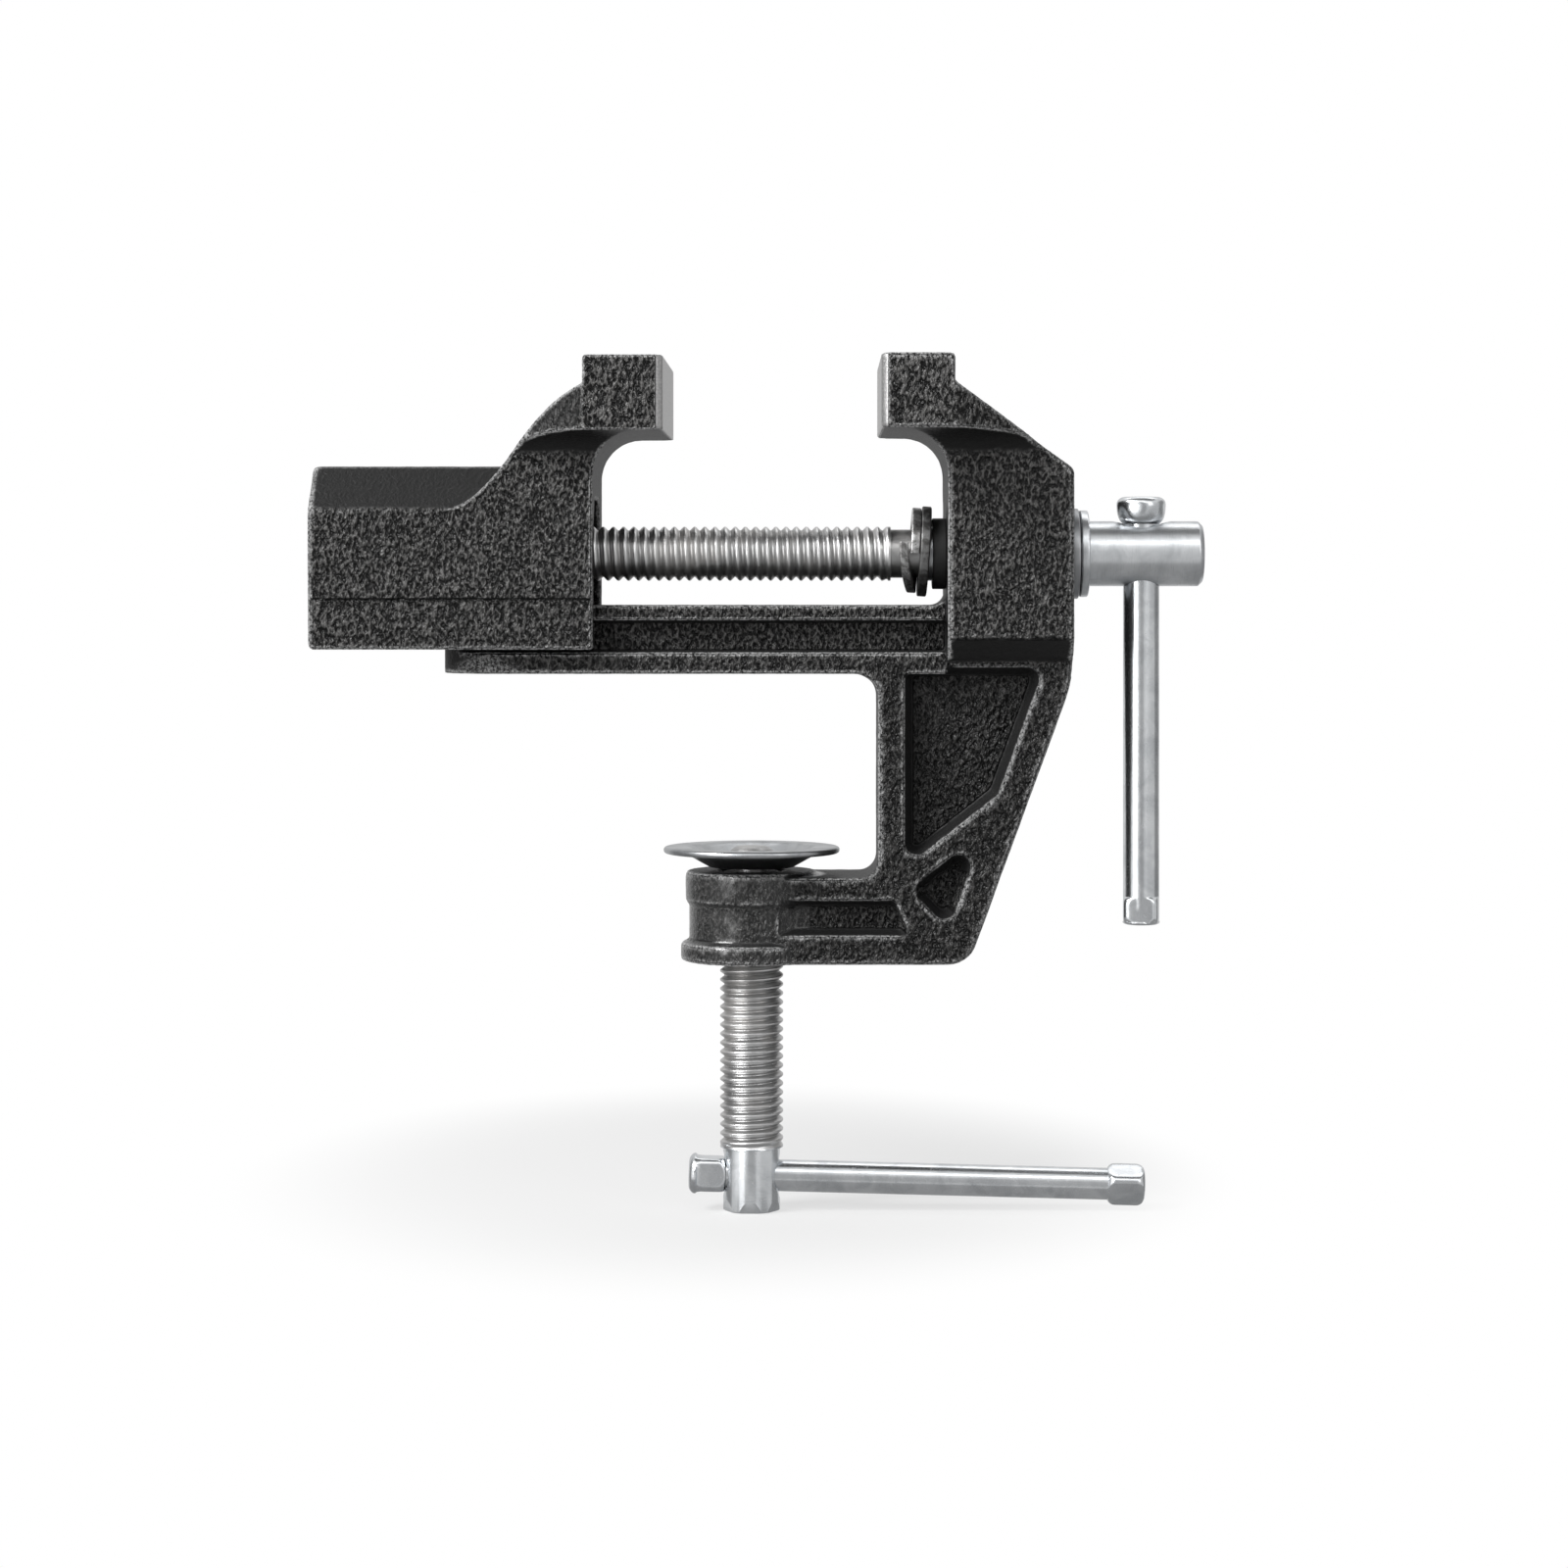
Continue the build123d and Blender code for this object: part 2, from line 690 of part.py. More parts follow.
# ---- vise screw: shaft, groove for the split washer, collar and drilled head -------------
vise_hole = handle_hole(Plane(origin=(head_hole_x, 0, screw_z)),
                        vise_handle_diameter / 2 + handle_gap, head_diameter / 2)

with BuildPart() as vise_screw:
    with BuildSketch(Plane.XZ):
        with BuildLine():
            Polyline(
                (tip_x, screw_z),
                (tip_x, screw_z + screw_radius - screw_tip_chamfer),
                (tip_x + screw_tip_chamfer, screw_z + screw_radius),
                (groove_start, screw_z + screw_radius),
                (groove_start, screw_z + groove_diameter / 2),
                (groove_end, screw_z + groove_diameter / 2),
                (groove_end, screw_z + screw_radius),
                (collar_x, screw_z + screw_radius),
                (collar_x, screw_z + collar_diameter / 2),
                (head_x, screw_z + collar_diameter / 2),
                (head_x, screw_z + head_diameter / 2),
                (head_end - head_chamfer, screw_z + head_diameter / 2),
                (head_end, screw_z + head_diameter / 2 - head_chamfer),
                (head_end, screw_z),
                close=True,
            )
        make_face()
    revolve(axis=screw_axis)
    add(vise_hole, mode=Mode.SUBTRACT)

vise_screw.part.label = "vise_screw"
export_step(vise_screw.part, "parts/vise_screw.step")

# ---- rings on the vise screw -------------------------------------------------------------
thrust_washer = ring_on_screw(back_x, thrust_washer_thickness, washer_diameter / 2,
                              screw_radius + ring_bore_gap)
thrust_washer.label = "thrust_washer"
export_step(thrust_washer, "parts/thrust_washer.step")

bush = ring_on_screw(bush_x, bush_length, bush_diameter / 2, screw_radius + ring_bore_gap)
bush.label = "bush"
export_step(bush, "parts/bush.step")

# the flat washer leans on the bush's upper edge
lean = radians(washer_tilt)
washer_x = bush_x - ring_gap - bush_diameter / 2 * tan(lean) - washer_thickness / 2 / cos(lean)
leaning = Plane(origin=(washer_x, 0, screw_z), x_dir=(0, 1, 0), z_dir=(cos(lean), 0, -sin(lean)))
with BuildPart() as flat_washer:
    with BuildSketch(leaning):
        Circle(washer_diameter / 2)
        Circle(screw_radius + washer_bore_gap, mode=Mode.SUBTRACT)
    extrude(amount=washer_thickness / 2, both=True)

flat_washer.part.label = "flat_washer"
export_step(flat_washer.part, "parts/flat_washer.step")

# the split washer is one turn of a square-cut helix, its gap towards the front
spring_inner = groove_diameter / 2 + spring_bore_gap
spring_outer = spring_diameter / 2
spring_mean = (spring_inner + spring_outer) / 2
spring_rise = spring_pitch * spring_turn
spring_start = washer_x - washer_thickness / 2 - spring_gap - spring_thickness / 2
spring_plane = Plane(origin=(spring_start, 0, screw_z), x_dir=(0, -1, 0),
                     z_dir=(-cos(lean), 0, sin(lean)))
with BuildPart() as split_washer:
    with BuildLine():
        turn = Helix(pitch=spring_pitch, height=spring_rise, radius=spring_mean)
    with BuildSketch(Plane(origin=turn @ 0, x_dir=(1, 0, 0), z_dir=turn % 0)):
        Rectangle(spring_outer - spring_inner, spring_thickness)
    sweep(path=turn, is_frenet=True)
split_washer_placed = split_washer.part.moved(
    spring_plane.location * Rotation(0, 0, 180 * (1 - spring_turn)))
split_washer_placed.label = "split_washer"
export_step(split_washer_placed, "parts/split_washer.step")

# ---- vise handle, hanging from its upper end ---------------------------------------------
handle_top = screw_z + head_diameter / 2 - vise_seat_depth + vise_handle_end_length
vise_handle = sliding_handle(
    Plane(origin=(head_hole_x, 0, handle_top), x_dir=(1, 0, 0), z_dir=(0, 0, -1)),
    vise_handle_diameter, vise_handle_length, vise_handle_end_length,
    (vise_handle_top_width, vise_handle_turn), (vise_handle_foot_width, vise_handle_turn))
vise_handle.label = "vise_handle"
export_step(vise_handle, "parts/vise_handle.step")

# ---- clamp screw, with a shoulder and a riveted tip for the pad --------------------------
handle_lean = radians(clamp_hole_tilt)
along_clamp_handle = Plane(origin=(0, 0, clamp_hole_z), x_dir=(sin(handle_lean), 0, cos(handle_lean)),
                           z_dir=(cos(handle_lean), 0, -sin(handle_lean)))
clamp_hole = handle_hole(along_clamp_handle, clamp_handle_diameter / 2 + handle_gap,
                         clamp_head_diameter / 2)
clamp_radius = clamp_diameter / 2
foot_top = clamp_foot + clamp_foot_height
with BuildPart() as faceted_foot:
    with BuildSketch(Plane.XY.offset(clamp_foot)):
        Circle(clamp_head_diameter / 2)
    extrude(amount=clamp_foot_height)
    with BuildSketch(Plane.XY.offset(clamp_foot)):
        RegularPolygon(clamp_foot_width / 2, clamp_foot_sides, major_radius=False)
    extrude(amount=clamp_foot_height, taper=-clamp_foot_draft, mode=Mode.INTERSECT)

with BuildPart() as clamp_screw:
    with BuildSketch(Plane.XZ):
        with BuildLine():
            Polyline(
                (0, foot_top),
                (clamp_head_diameter / 2, foot_top),
                (clamp_head_diameter / 2, clamp_head_top),
                (clamp_radius, clamp_head_top),
                (clamp_radius, shoulder_z - clamp_tip_chamfer),
                (clamp_radius - clamp_tip_chamfer, shoulder_z),
                (neck_diameter / 2, shoulder_z),
                (neck_diameter / 2, rivet_z),
                (rivet_diameter / 2, rivet_z),
            )
            Bezier((rivet_diameter / 2, rivet_z), (rivet_diameter / 2, rivet_z + rivet_height),
                   (rivet_diameter / 4, rivet_z + rivet_height), (0, rivet_z + rivet_height))
            Line((0, rivet_z + rivet_height), (0, foot_top))
        make_face()
    revolve(axis=Axis.Z)
    add(faceted_foot.part)
    add(clamp_hole, mode=Mode.SUBTRACT)

clamp_screw.part.label = "clamp_screw"
export_step(clamp_screw.part, "parts/clamp_screw.step")

# ---- clamp handle, slid to its left-hand stop --------------------------------------------
handle_start = -(clamp_head_diameter / 2 - clamp_seat_depth + clamp_handle_end_length)
clamp_handle = sliding_handle(
    along_clamp_handle.offset(handle_start),
    clamp_handle_diameter, clamp_handle_length, clamp_handle_end_length,
    (clamp_handle_end_width, 0), (clamp_handle_end_width, clamp_handle_turn))
clamp_handle.label = "clamp_handle"
export_step(clamp_handle, "parts/clamp_handle.step")

# ---- pad and the washer it turns on ------------------------------------------------------
with BuildPart() as pad_washer:
    with BuildSketch(Plane.XY.offset(pad_washer_z)):
        Circle(pad_washer_diameter / 2)
        Circle(neck_diameter / 2 + pad_washer_bore_gap, mode=Mode.SUBTRACT)
    extrude(amount=pad_washer_thickness)

pad_washer.part.label = "pad_washer"
export_step(pad_washer.part, "parts/pad_washer.step")

pad_hole = neck_diameter / 2 + pad_hole_gap
pad_floor = pad_floor_diameter / 2
pad_cone = pad_cone_diameter / 2
pad_radius = pad_diameter / 2
cone_z = pad_bottom + pad_cone_height
with BuildPart() as clamp_pad:
    with BuildSketch(Plane.XZ):
        with BuildLine():
            FilletPolyline(
                (pad_hole, pad_bottom),
                (pad_floor, pad_bottom),
                (pad_cone, cone_z),
                (pad_radius, pad_rim_z),
                (pad_radius, pad_rim_z + pad_sheet),
                (pad_cone, pad_rim_z + pad_sheet),
                (pad_floor - pad_sheet / 2, pad_bottom + pad_sheet),
                (pad_hole, pad_bottom + pad_sheet),
                radius=[0, pad_floor_radius, pad_bend_radius, pad_edge_radius,
                        pad_edge_radius, pad_bend_radius, pad_floor_radius, 0],
                close=True,
            )
        make_face()
    revolve(axis=Axis.Z)

clamp_pad.part.label = "clamp_pad"
export_step(clamp_pad.part, "parts/clamp_pad.step")
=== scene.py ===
"""A small cast bench vise that clamps to a table edge, dressed for one product picture."""

import logging
from collections.abc import Callable
from dataclasses import dataclass
from enum import Enum
from itertools import product
from math import atan2, cos, pi, radians, sin

import bmesh
import bpy
import numpy as np
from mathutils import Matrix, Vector


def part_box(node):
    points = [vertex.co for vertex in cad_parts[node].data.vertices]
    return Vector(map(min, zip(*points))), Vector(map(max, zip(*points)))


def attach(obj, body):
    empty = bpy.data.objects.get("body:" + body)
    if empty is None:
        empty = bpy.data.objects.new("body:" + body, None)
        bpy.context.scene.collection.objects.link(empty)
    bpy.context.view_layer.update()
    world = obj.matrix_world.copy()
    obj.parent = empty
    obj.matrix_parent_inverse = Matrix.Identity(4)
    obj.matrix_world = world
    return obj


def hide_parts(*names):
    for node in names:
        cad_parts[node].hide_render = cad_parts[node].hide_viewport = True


Settings = dict[str, object]
Span = tuple[float, float]
Point = tuple[float, float, float]

log = logging.getLogger("vise")
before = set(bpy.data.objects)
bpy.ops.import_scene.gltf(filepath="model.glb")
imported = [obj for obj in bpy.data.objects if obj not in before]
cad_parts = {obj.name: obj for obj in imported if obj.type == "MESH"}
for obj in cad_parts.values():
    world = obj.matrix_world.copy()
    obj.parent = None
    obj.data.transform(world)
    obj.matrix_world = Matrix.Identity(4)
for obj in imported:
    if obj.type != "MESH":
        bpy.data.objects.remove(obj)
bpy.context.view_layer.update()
MM = 0.001
CREASE = 32.0                       # degrees past which an edge stays sharp
SLIVER = 1e-7                       # metres; edges as short as this are dissolved


# ---- shader maths ------------------------------------------------------------------------
def operator(operation: str, swapped: bool = False) -> Callable[["Wire", object], "Wire"]:
    """Makes one of a wire's operators.

    Args:
        operation: kind of Math node.
        swapped: whether the other term comes first, as in 1 - wire.

    Returns:
        The method, which adds the node and gives back its result.
    """
    def method(wire: "Wire", other: object = 0.0) -> "Wire":
        """Works out the two terms."""
        terms = (other, wire) if swapped else (wire, other)
        return wire.recipe.node("Math", {"operation": operation}, dict(enumerate(terms)))

    return method


class Wire:
    """One value inside a material; arithmetic on it adds the nodes that work it out."""

    __add__, __radd__ = operator("ADD"), operator("ADD", True)
    __sub__, __rsub__ = operator("SUBTRACT"), operator("SUBTRACT", True)
    __mul__, __rmul__ = operator("MULTIPLY"), operator("MULTIPLY", True)
    __abs__, at_least = operator("ABSOLUTE"), operator("MAXIMUM")

    def __init__(self, recipe: "Recipe", socket: bpy.types.NodeSocket) -> None:
        """Wraps a socket of the recipe's node tree."""
        self.recipe = recipe
        self.socket = socket

    def ramp(self, low: float, high: float) -> "Wire":
        """Soft step: 0 at low, 1 at high, levelling off at both ends."""
        return self.recipe.node("MapRange", {"interpolation_type": "SMOOTHSTEP"},
                                {"Value": self, "From Min": low, "From Max": high})


class Recipe:
    """A material in the making."""

    def __init__(self, name: str, owner: bpy.types.World | None = None) -> None:
        """Starts an empty node tree, on a new material of this name or on a given world."""
        self.material = owner or bpy.data.materials.new(name)
        self.material.use_nodes = True
        self.tree = self.material.node_tree
        self.tree.nodes.clear()

    def node(self, kind: str, settings: Settings | None = None,
             inputs: dict[object, object] | None = None, output: object = 0) -> Wire:
        """Adds any node.

        Args:
            kind: the node's type without its ShaderNode prefix.
            settings: properties set before the sockets are filled.
            inputs: numbers, colours or wires for the sockets, by name or place.
            output: which output to give back.

        Returns:
            The chosen output as a wire, or the first input of a node that ends the tree.
        """
        made = self.tree.nodes.new("ShaderNode" + kind)
        for name, value in (settings or {}).items():
            setattr(made, name, value)
        for name, value in (inputs or {}).items():
            if isinstance(value, Wire):
                self.tree.links.new(value.socket, made.inputs[name])
            else:
                made.inputs[name].default_value = value
        return Wire(self, made.outputs[output] if len(made.outputs) else made.inputs[0])

    def place(self, stretch: Point = (1.0, 1.0, 1.0), turn: Point = (0.0, 0.0, 0.0)) -> Wire:
        """Position on the piece in millimetres.

        Args:
            stretch: factor along each axis after the turn.
            turn: turn of the pattern in degrees.

        Returns:
            The position as a vector.
        """
        spot = self.node("TexCoord", output="Object")
        return self.node("Mapping", {"vector_type": "POINT"}, {
            "Vector": spot, "Scale": tuple(s / MM for s in stretch),
            "Rotation": tuple(radians(t) for t in turn)})

    def part_of(self, vector: Wire, axis: str) -> Wire:
        """One coordinate of a vector."""
        return self.node("SeparateXYZ", None, {"Vector": vector}, output=axis)

    def facing(self, axis: str) -> Wire:
        """How squarely the surface faces along an axis, from -1 to 1."""
        return self.part_of(self.node("TexCoord", output="Normal"), axis)

    def noise(self, spot: Wire, scale: float, detail: float = 2.0, roughness: float = 0.5,
              distortion: float = 0.0) -> Wire:
        """Cloudy pattern between 0 and 1; scale is in cells per millimetre."""
        return self.node("TexNoise", None, {
            "Vector": spot, "Scale": scale, "Detail": detail, "Roughness": roughness,
            "Distortion": distortion})

    def blend(self, share: object, first: object, second: object) -> Wire:
        """Colour that goes from the first to the second as share goes from 0 to 1."""
        return self.node("Mix", {"data_type": "RGBA"}, {0: share, 6: first, 7: second}, output=2)

    def bump(self, height: Wire, depth: float) -> Wire:
        """Surface direction over small heights; depth is in millimetres."""
        return self.node("Bump", None, {"Height": height, "Distance": depth * MM})

    def finish(self, **sockets: object) -> bpy.types.Material:
        """Feeds a Principled shader and closes the tree.

        Args:
            **sockets: values or wires, named after the shader's sockets with _ for spaces.

        Returns:
            The finished material.
        """
        filled = {name.replace("_", " "): value for name, value in sockets.items()}
        shader = self.node("BsdfPrincipled", None, filled)
        self.node("OutputMaterial", None, {"Surface": shader})
        return self.material


def grey(value: float, warmth: float = 0.0) -> tuple[float, float, float, float]:
    """Neutral colour, a little warm or cool."""
    return (value * (1 + warmth), value, value * (1 - warmth), 1.0)


def placed(name: str, data: bpy.types.ID) -> bpy.types.Object:
    """Puts a mesh, lamp or camera into the scene as an object."""
    made = bpy.data.objects.new(name, data)
    bpy.context.scene.collection.objects.link(made)
    return made


# ---- finishes ----------------------------------------------------------------------------
@dataclass(frozen=True)
class CastingPaint:
    """Black wrinkled paint over cast iron, with the grip face ground bare."""

    name: str
    grip_x: float                   # plane of the ground face
    grip_side: float                # +1 when iron lies at larger X than that plane
    grip_bottom: float
    parting_z: float | None = None  # height of a casting line along the sides
    wear_and_highlight_spot: Point | None = None      # X and Z of a spot of wear and painted highlight, and how far it reaches
    grip_bevel: float = 1.4
    half_jaw: float = 30.0
    pit: float = 0.004
    # painted highlight: colour of the lump crests, lighter than the black paint of the pits
    crest: float = 0.088
    iron: float = 0.5
    gloss: float = 0.24             # mirror strength of the paint
    smooth_tone: float = 0.009
    edge_wear_and_highlight_tone: float = 0.34         # paint worn thin along edges, together with a painted highlight there
    edge_wear_and_highlight_span: Span = (0.508, 0.54)     # pointiness at which the edge wear and painted highlight start and are full
    # colour of that spot of wear and painted highlight
    wear_and_highlight_tone: float = 0.2
    lump_scale: float = 1.35        # lumps per millimetre
    lump_depth: float = 1.9
    lump_stretch: Point = (1.0, 1.0, 0.62)
    lump_turn: Point = (0.0, 45.0, 0.0)
    side_facing: Span = (0.78, 0.94)    # how squarely a lumpy face looks sideways
    boss_top: Span = (-43.6, -43.0)     # below this, upright faces are lumpy all round
    boss_reach: Span = (15.0, 17.0)
    pocket_depth: Span = (7.0, 9.5)     # distance from the middle plane: painted shade in the pockets, none on the open sides
    # heights over which the painted shade low down lifts
    rail_rise: Span = (-4.0, 12.0)
    # heights over which painted light brightens the jaw blocks
    jaw_rise: Span = (40.0, 48.0)
    satin: float = 0.22             # roughness of the lumps
    dusty: float = 0.14             # what dust adds to it, at most
    smooth: float = 0.2             # what the finer grain away from the sides adds
    iron_roughness: float = 0.42
    iron_metal: float = 0.85
    grind_depth: float = 0.05
    line_depth: float = 0.35
    coat: float = 0.9               # weight of the glossier coat round the boss
    coat_roughness: float = 0.2

    def material(self) -> bpy.types.Material:
        """Lumps on the flat sides with a painted highlight on their crests, finer grain elsewhere, and
        thin bright edges that are partly wear and partly painted highlight.

        Returns:
            The material.
        """
        mix = Recipe(self.name)
        plain = mix.place()
        tall = mix.part_of(plain, "Z")
        upright = 1.0 - abs(mix.facing("Z")).ramp(0.25, 0.55)
        side = abs(mix.facing("Y")).ramp(*self.side_facing).at_least(
            upright * (1.0 - tall.ramp(*self.boss_top)))
        coarse = mix.noise(mix.place(self.lump_stretch, self.lump_turn), self.lump_scale,
                           1.0, 0.5, 0.2)
        drift = mix.noise(plain, 0.05, 2.0)
        fine = mix.noise(plain, 1.9, 3.0, 0.6, 0.3)
        dust = mix.noise(plain, 5.5, 2.0, 0.5)
        grind = mix.noise(mix.place((1.0, 0.15, 3.0)), 1.6, 3.0, 0.6)
        # painted highlight: the lump crests, which share the bump's noise, are coloured lighter
        painted_glint = (coarse + 0.25 * fine).ramp(0.54, 0.8) * (0.6 + 0.7 * drift)
        # partly wear, partly painted highlight: edges are coloured light grey by pointiness
        edge_wear_and_highlight = mix.node("NewGeometry", output="Pointiness").ramp(*self.edge_wear_and_highlight_span)
        # partly wear, partly painted highlight: a light grey spot on the flange's rounded end
        wear_and_highlight_spot = self.wear_and_highlight_share(mix, plain, tall)
        line = self.parting_line(tall, side)
        bare = self.ground_iron(mix, plain, tall)
        # painted shade and light: the crests' painted highlight is scaled by height and by depth into
        # the pockets
        lumpy = mix.blend(painted_glint * self.painted_light(mix, plain, tall), grey(self.pit),
                          grey(self.crest, 0.02))
        paint = mix.blend(side, grey(self.smooth_tone), lumpy)
        paint = mix.blend(edge_wear_and_highlight * fine.ramp(0.35, 0.6) * 0.9, paint, grey(self.edge_wear_and_highlight_tone))
        paint = mix.blend(fine.ramp(0.4, 0.6) * wear_and_highlight_spot, paint, grey(self.wear_and_highlight_tone))
        # painted shade: the sunk parting line is coloured darker
        paint = mix.blend(line, paint, grey(self.pit * 0.5))
        iron = mix.blend(fine.ramp(0.35, 0.7), grey(self.iron * 0.85), grey(self.iron * 1.15, 0.01))
        height = (coarse * (0.1 + 0.9 * side) + fine * (0.04 + 0.06 * side)
                  - line * self.line_depth)
        satin = self.satin + self.dusty * dust + self.smooth * (1.0 - side)
        return mix.finish(
            Base_Color=mix.blend(bare, paint, iron),
            Metallic=bare * self.iron_metal, Specular_IOR_Level=self.gloss,
            Coat_Weight=self.glaze(mix, tall), Coat_Roughness=self.coat_roughness,
            Roughness=satin * (1.0 - bare) + bare * self.iron_roughness,
            Normal=mix.bump(mix.blend(bare, height, grind * self.grind_depth),
                            self.lump_depth))

    def painted_light(self, mix: Recipe, spot: Wire, tall: Wire) -> Wire:
        """Share of the crests' painted highlight that is kept: painted shade makes it smaller low down
        and smallest in the pockets, painted light makes it larger on the jaw blocks.
        """
        open_side = abs(mix.part_of(spot, "Y")).ramp(*self.pocket_depth)
        return (0.1 + 0.36 * open_side + 0.54 * tall.ramp(*self.rail_rise)
                + 0.4 * tall.ramp(*self.jaw_rise))

    def glaze(self, mix: Recipe, tall: Wire) -> Wire:
        """Weight of a glossier coat round the boss, where the paint has run together."""
        reach = mix.node("VectorMath", {"operation": "LENGTH"},
                         {0: mix.place((1.0, 1.0, 0.0))}, output="Value")
        below = 1.0 - tall.ramp(-44.2, -43.6)
        return (1.0 - reach.ramp(*self.boss_reach)) * below * self.coat

    def wear_and_highlight_share(self, mix: Recipe, spot: Wire, tall: Wire) -> Wire | float:
        """Share of light grey round one spot, partly paint rubbed thin and partly painted highlight,
        fading out from the spot.
        """
        if self.wear_and_highlight_spot is None:
            return 0.0
        x, z, reach = self.wear_and_highlight_spot
        away = abs(mix.part_of(spot, "X") - x) + abs(tall - z) * 2.0
        return 0.9 - 0.9 * away.ramp(reach * 0.5, reach)

    def ground_iron(self, mix: Recipe, spot: Wire, tall: Wire) -> Wire:
        """Where the paint is ground away: the grip face and the bevels beside it.

        Args:
            mix: the material in the making.
            spot: position on the piece.
            tall: its height.

        Returns:
            1 on bare iron, 0 on paint.
        """
        past = (mix.part_of(spot, "X") - self.grip_x) * self.grip_side
        aside = abs(mix.part_of(spot, "Y")) - (self.half_jaw - self.grip_bevel)
        face = 1.0 - past.ramp(0.15, 0.4)
        bevel = (aside - past).ramp(-0.35, -0.1) * (1.0 - past.ramp(
            self.grip_bevel - 0.05, self.grip_bevel + 0.25))
        return face.at_least(bevel) * tall.ramp(self.grip_bottom - 0.4, self.grip_bottom)

    def parting_line(self, tall: Wire, side: Wire) -> Wire | float:
        """Thin sunk line along the sides where the two halves of the mould met."""
        if self.parting_z is None:
            return 0.0
        return (1.0 - abs(tall - self.parting_z).ramp(0.12, 0.5)) * side


@dataclass(frozen=True)
class ZincPlate:
    """Bright zinc over turned or drawn steel, with faint marks from the tool or the die."""

    name: str
    tone: float = 0.8
    shade: float = 0.58
    roughness: float = 0.2
    grain: Point = (0.05, 1.0, 1.0)     # short along the marks
    mark_depth: float = 0.012
    dullness: float = 0.12
    mark_tone: float = 0.35         # how much the marks darken

    def material(self) -> bpy.types.Material:
        """Marks along one direction over a slow change of tone.

        Returns:
            The material.
        """
        mix = Recipe(self.name)
        marks = mix.noise(mix.place(self.grain), 2.2, 4.0, 0.65)
        cloud = mix.noise(mix.place(), 0.16, 3.0, 0.6, 0.5)
        speck = mix.noise(mix.place(), 1.4, 3.0, 0.7).ramp(0.62, 0.78)
        tone = mix.blend(cloud.ramp(0.3, 0.75), grey(self.tone, -0.024),
                         grey(self.shade, -0.034))
        tone = mix.blend(marks.ramp(0.55, 0.8) * self.mark_tone, tone,
                         grey(self.shade * 0.7, -0.02))
        tone = mix.blend(speck * 0.25, tone, grey(self.shade * 0.5))
        return mix.finish(
            Base_Color=tone, Metallic=1.0,
            Roughness=self.roughness + self.dullness * marks + 0.1 * cloud + 0.15 * speck,
            Normal=mix.bump(marks + 0.3 * speck, self.mark_depth))


class ScrewAxis(Enum):
    """Which way a screw runs; the value names the two directions square to it."""

    X = ("Y", "Z")
    Z = ("X", "Y")


@dataclass(frozen=True)
class ThreadSteel:
    """Rolled thread: lighter at the crests, greyer towards the roots."""

    name: str
    axis: ScrewAxis
    centre: Point
    crest: float                    # radius of the worn crests
    root: float
    bright: float = 0.66
    dark: float = 0.4

    def material(self) -> bpy.types.Material:
        """Tone by the distance from the screw's axis, with patches of old oil.

        Returns:
            The material.
        """
        mix = Recipe(self.name)
        spot = mix.place()
        middle = dict(zip("XYZ", self.centre))
        legs = [mix.part_of(spot, name) - middle[name] for name in self.axis.value]
        squared = legs[0] * legs[0] + legs[1] * legs[1]
        reach = mix.node("Math", {"operation": "SQRT"}, {0: squared})
        worn = reach.ramp(self.root + 0.15, self.crest - 0.12)
        oil = mix.noise(spot, 0.11, 4.0, 0.6, 0.4).ramp(0.42, 0.68)
        grain = mix.noise(spot, 2.4, 3.0, 0.6)
        tone = mix.blend(worn, grey(self.dark), grey(self.bright))
        tone = mix.blend(oil * 0.5, tone, grey(self.dark * 1.3, 0.03))
        return mix.finish(
            Base_Color=tone, Metallic=1.0,
            Roughness=0.26 + 0.16 * grain + 0.12 * oil - 0.04 * worn,
            Normal=mix.bump(grain, 0.03))


@dataclass(frozen=True)
class DarkSteel:
    """Oiled steel of washers and the nut: grey faces, darker mottled patches."""

    name: str
    tone: float = 0.2
    dark: float = 0.06
    roughness: float = 0.38

    def material(self) -> bpy.types.Material:
        """Mottled tone with small pits.

        Returns:
            The material.
        """
        mix = Recipe(self.name)
        patch = mix.noise(mix.place(), 0.45, 4.0, 0.6, 0.5).ramp(0.35, 0.65)
        grain = mix.noise(mix.place(), 3.2, 3.0, 0.6)
        return mix.finish(
            Base_Color=mix.blend(patch, grey(self.tone), grey(self.dark, 0.02)),
            Metallic=0.9, Roughness=self.roughness + 0.2 * grain,
            Normal=mix.bump(grain, 0.035))


@dataclass(frozen=True)
class BlackRing:
    """Matt black coated spacer."""

    name: str

    def material(self) -> bpy.types.Material:
        """Soft black with a faint grain.

        Returns:
            The material.
        """
        mix = Recipe(self.name)
        grain = mix.noise(mix.place(), 2.8, 3.0, 0.6)
        return mix.finish(Base_Color=mix.blend(grain, grey(0.006), grey(0.016)),
                          Roughness=0.45 + 0.2 * grain, Normal=mix.bump(grain, 0.04))


# ---- surfaces ----------------------------------------------------------------------------
@dataclass
class Axis:
    """A line that a round piece is built about, with two directions square to it."""

    origin: Point
    along: Point
    side: Point

    def spread(self, travel: np.ndarray, u: np.ndarray, v: np.ndarray) -> np.ndarray:
        """Places local coordinates in the vise's frame.

        Args:
            travel: distance along the axis.
            u: distance along the first square direction.
            v: distance along the second.

        Returns:
            Points as an array whose last axis holds X, Y and Z.
        """
        along = np.array(Vector(self.along).normalized())
        side = np.array(Vector(self.side).normalized())
        third = np.cross(along, side)
        return (np.array(self.origin) + travel[..., None] * along
                + u[..., None] * side + v[..., None] * third)


UPRIGHT = Axis((0.0, 0.0, 0.0), (0.0, 0.0, 1.0), (1.0, 0.0, 0.0))


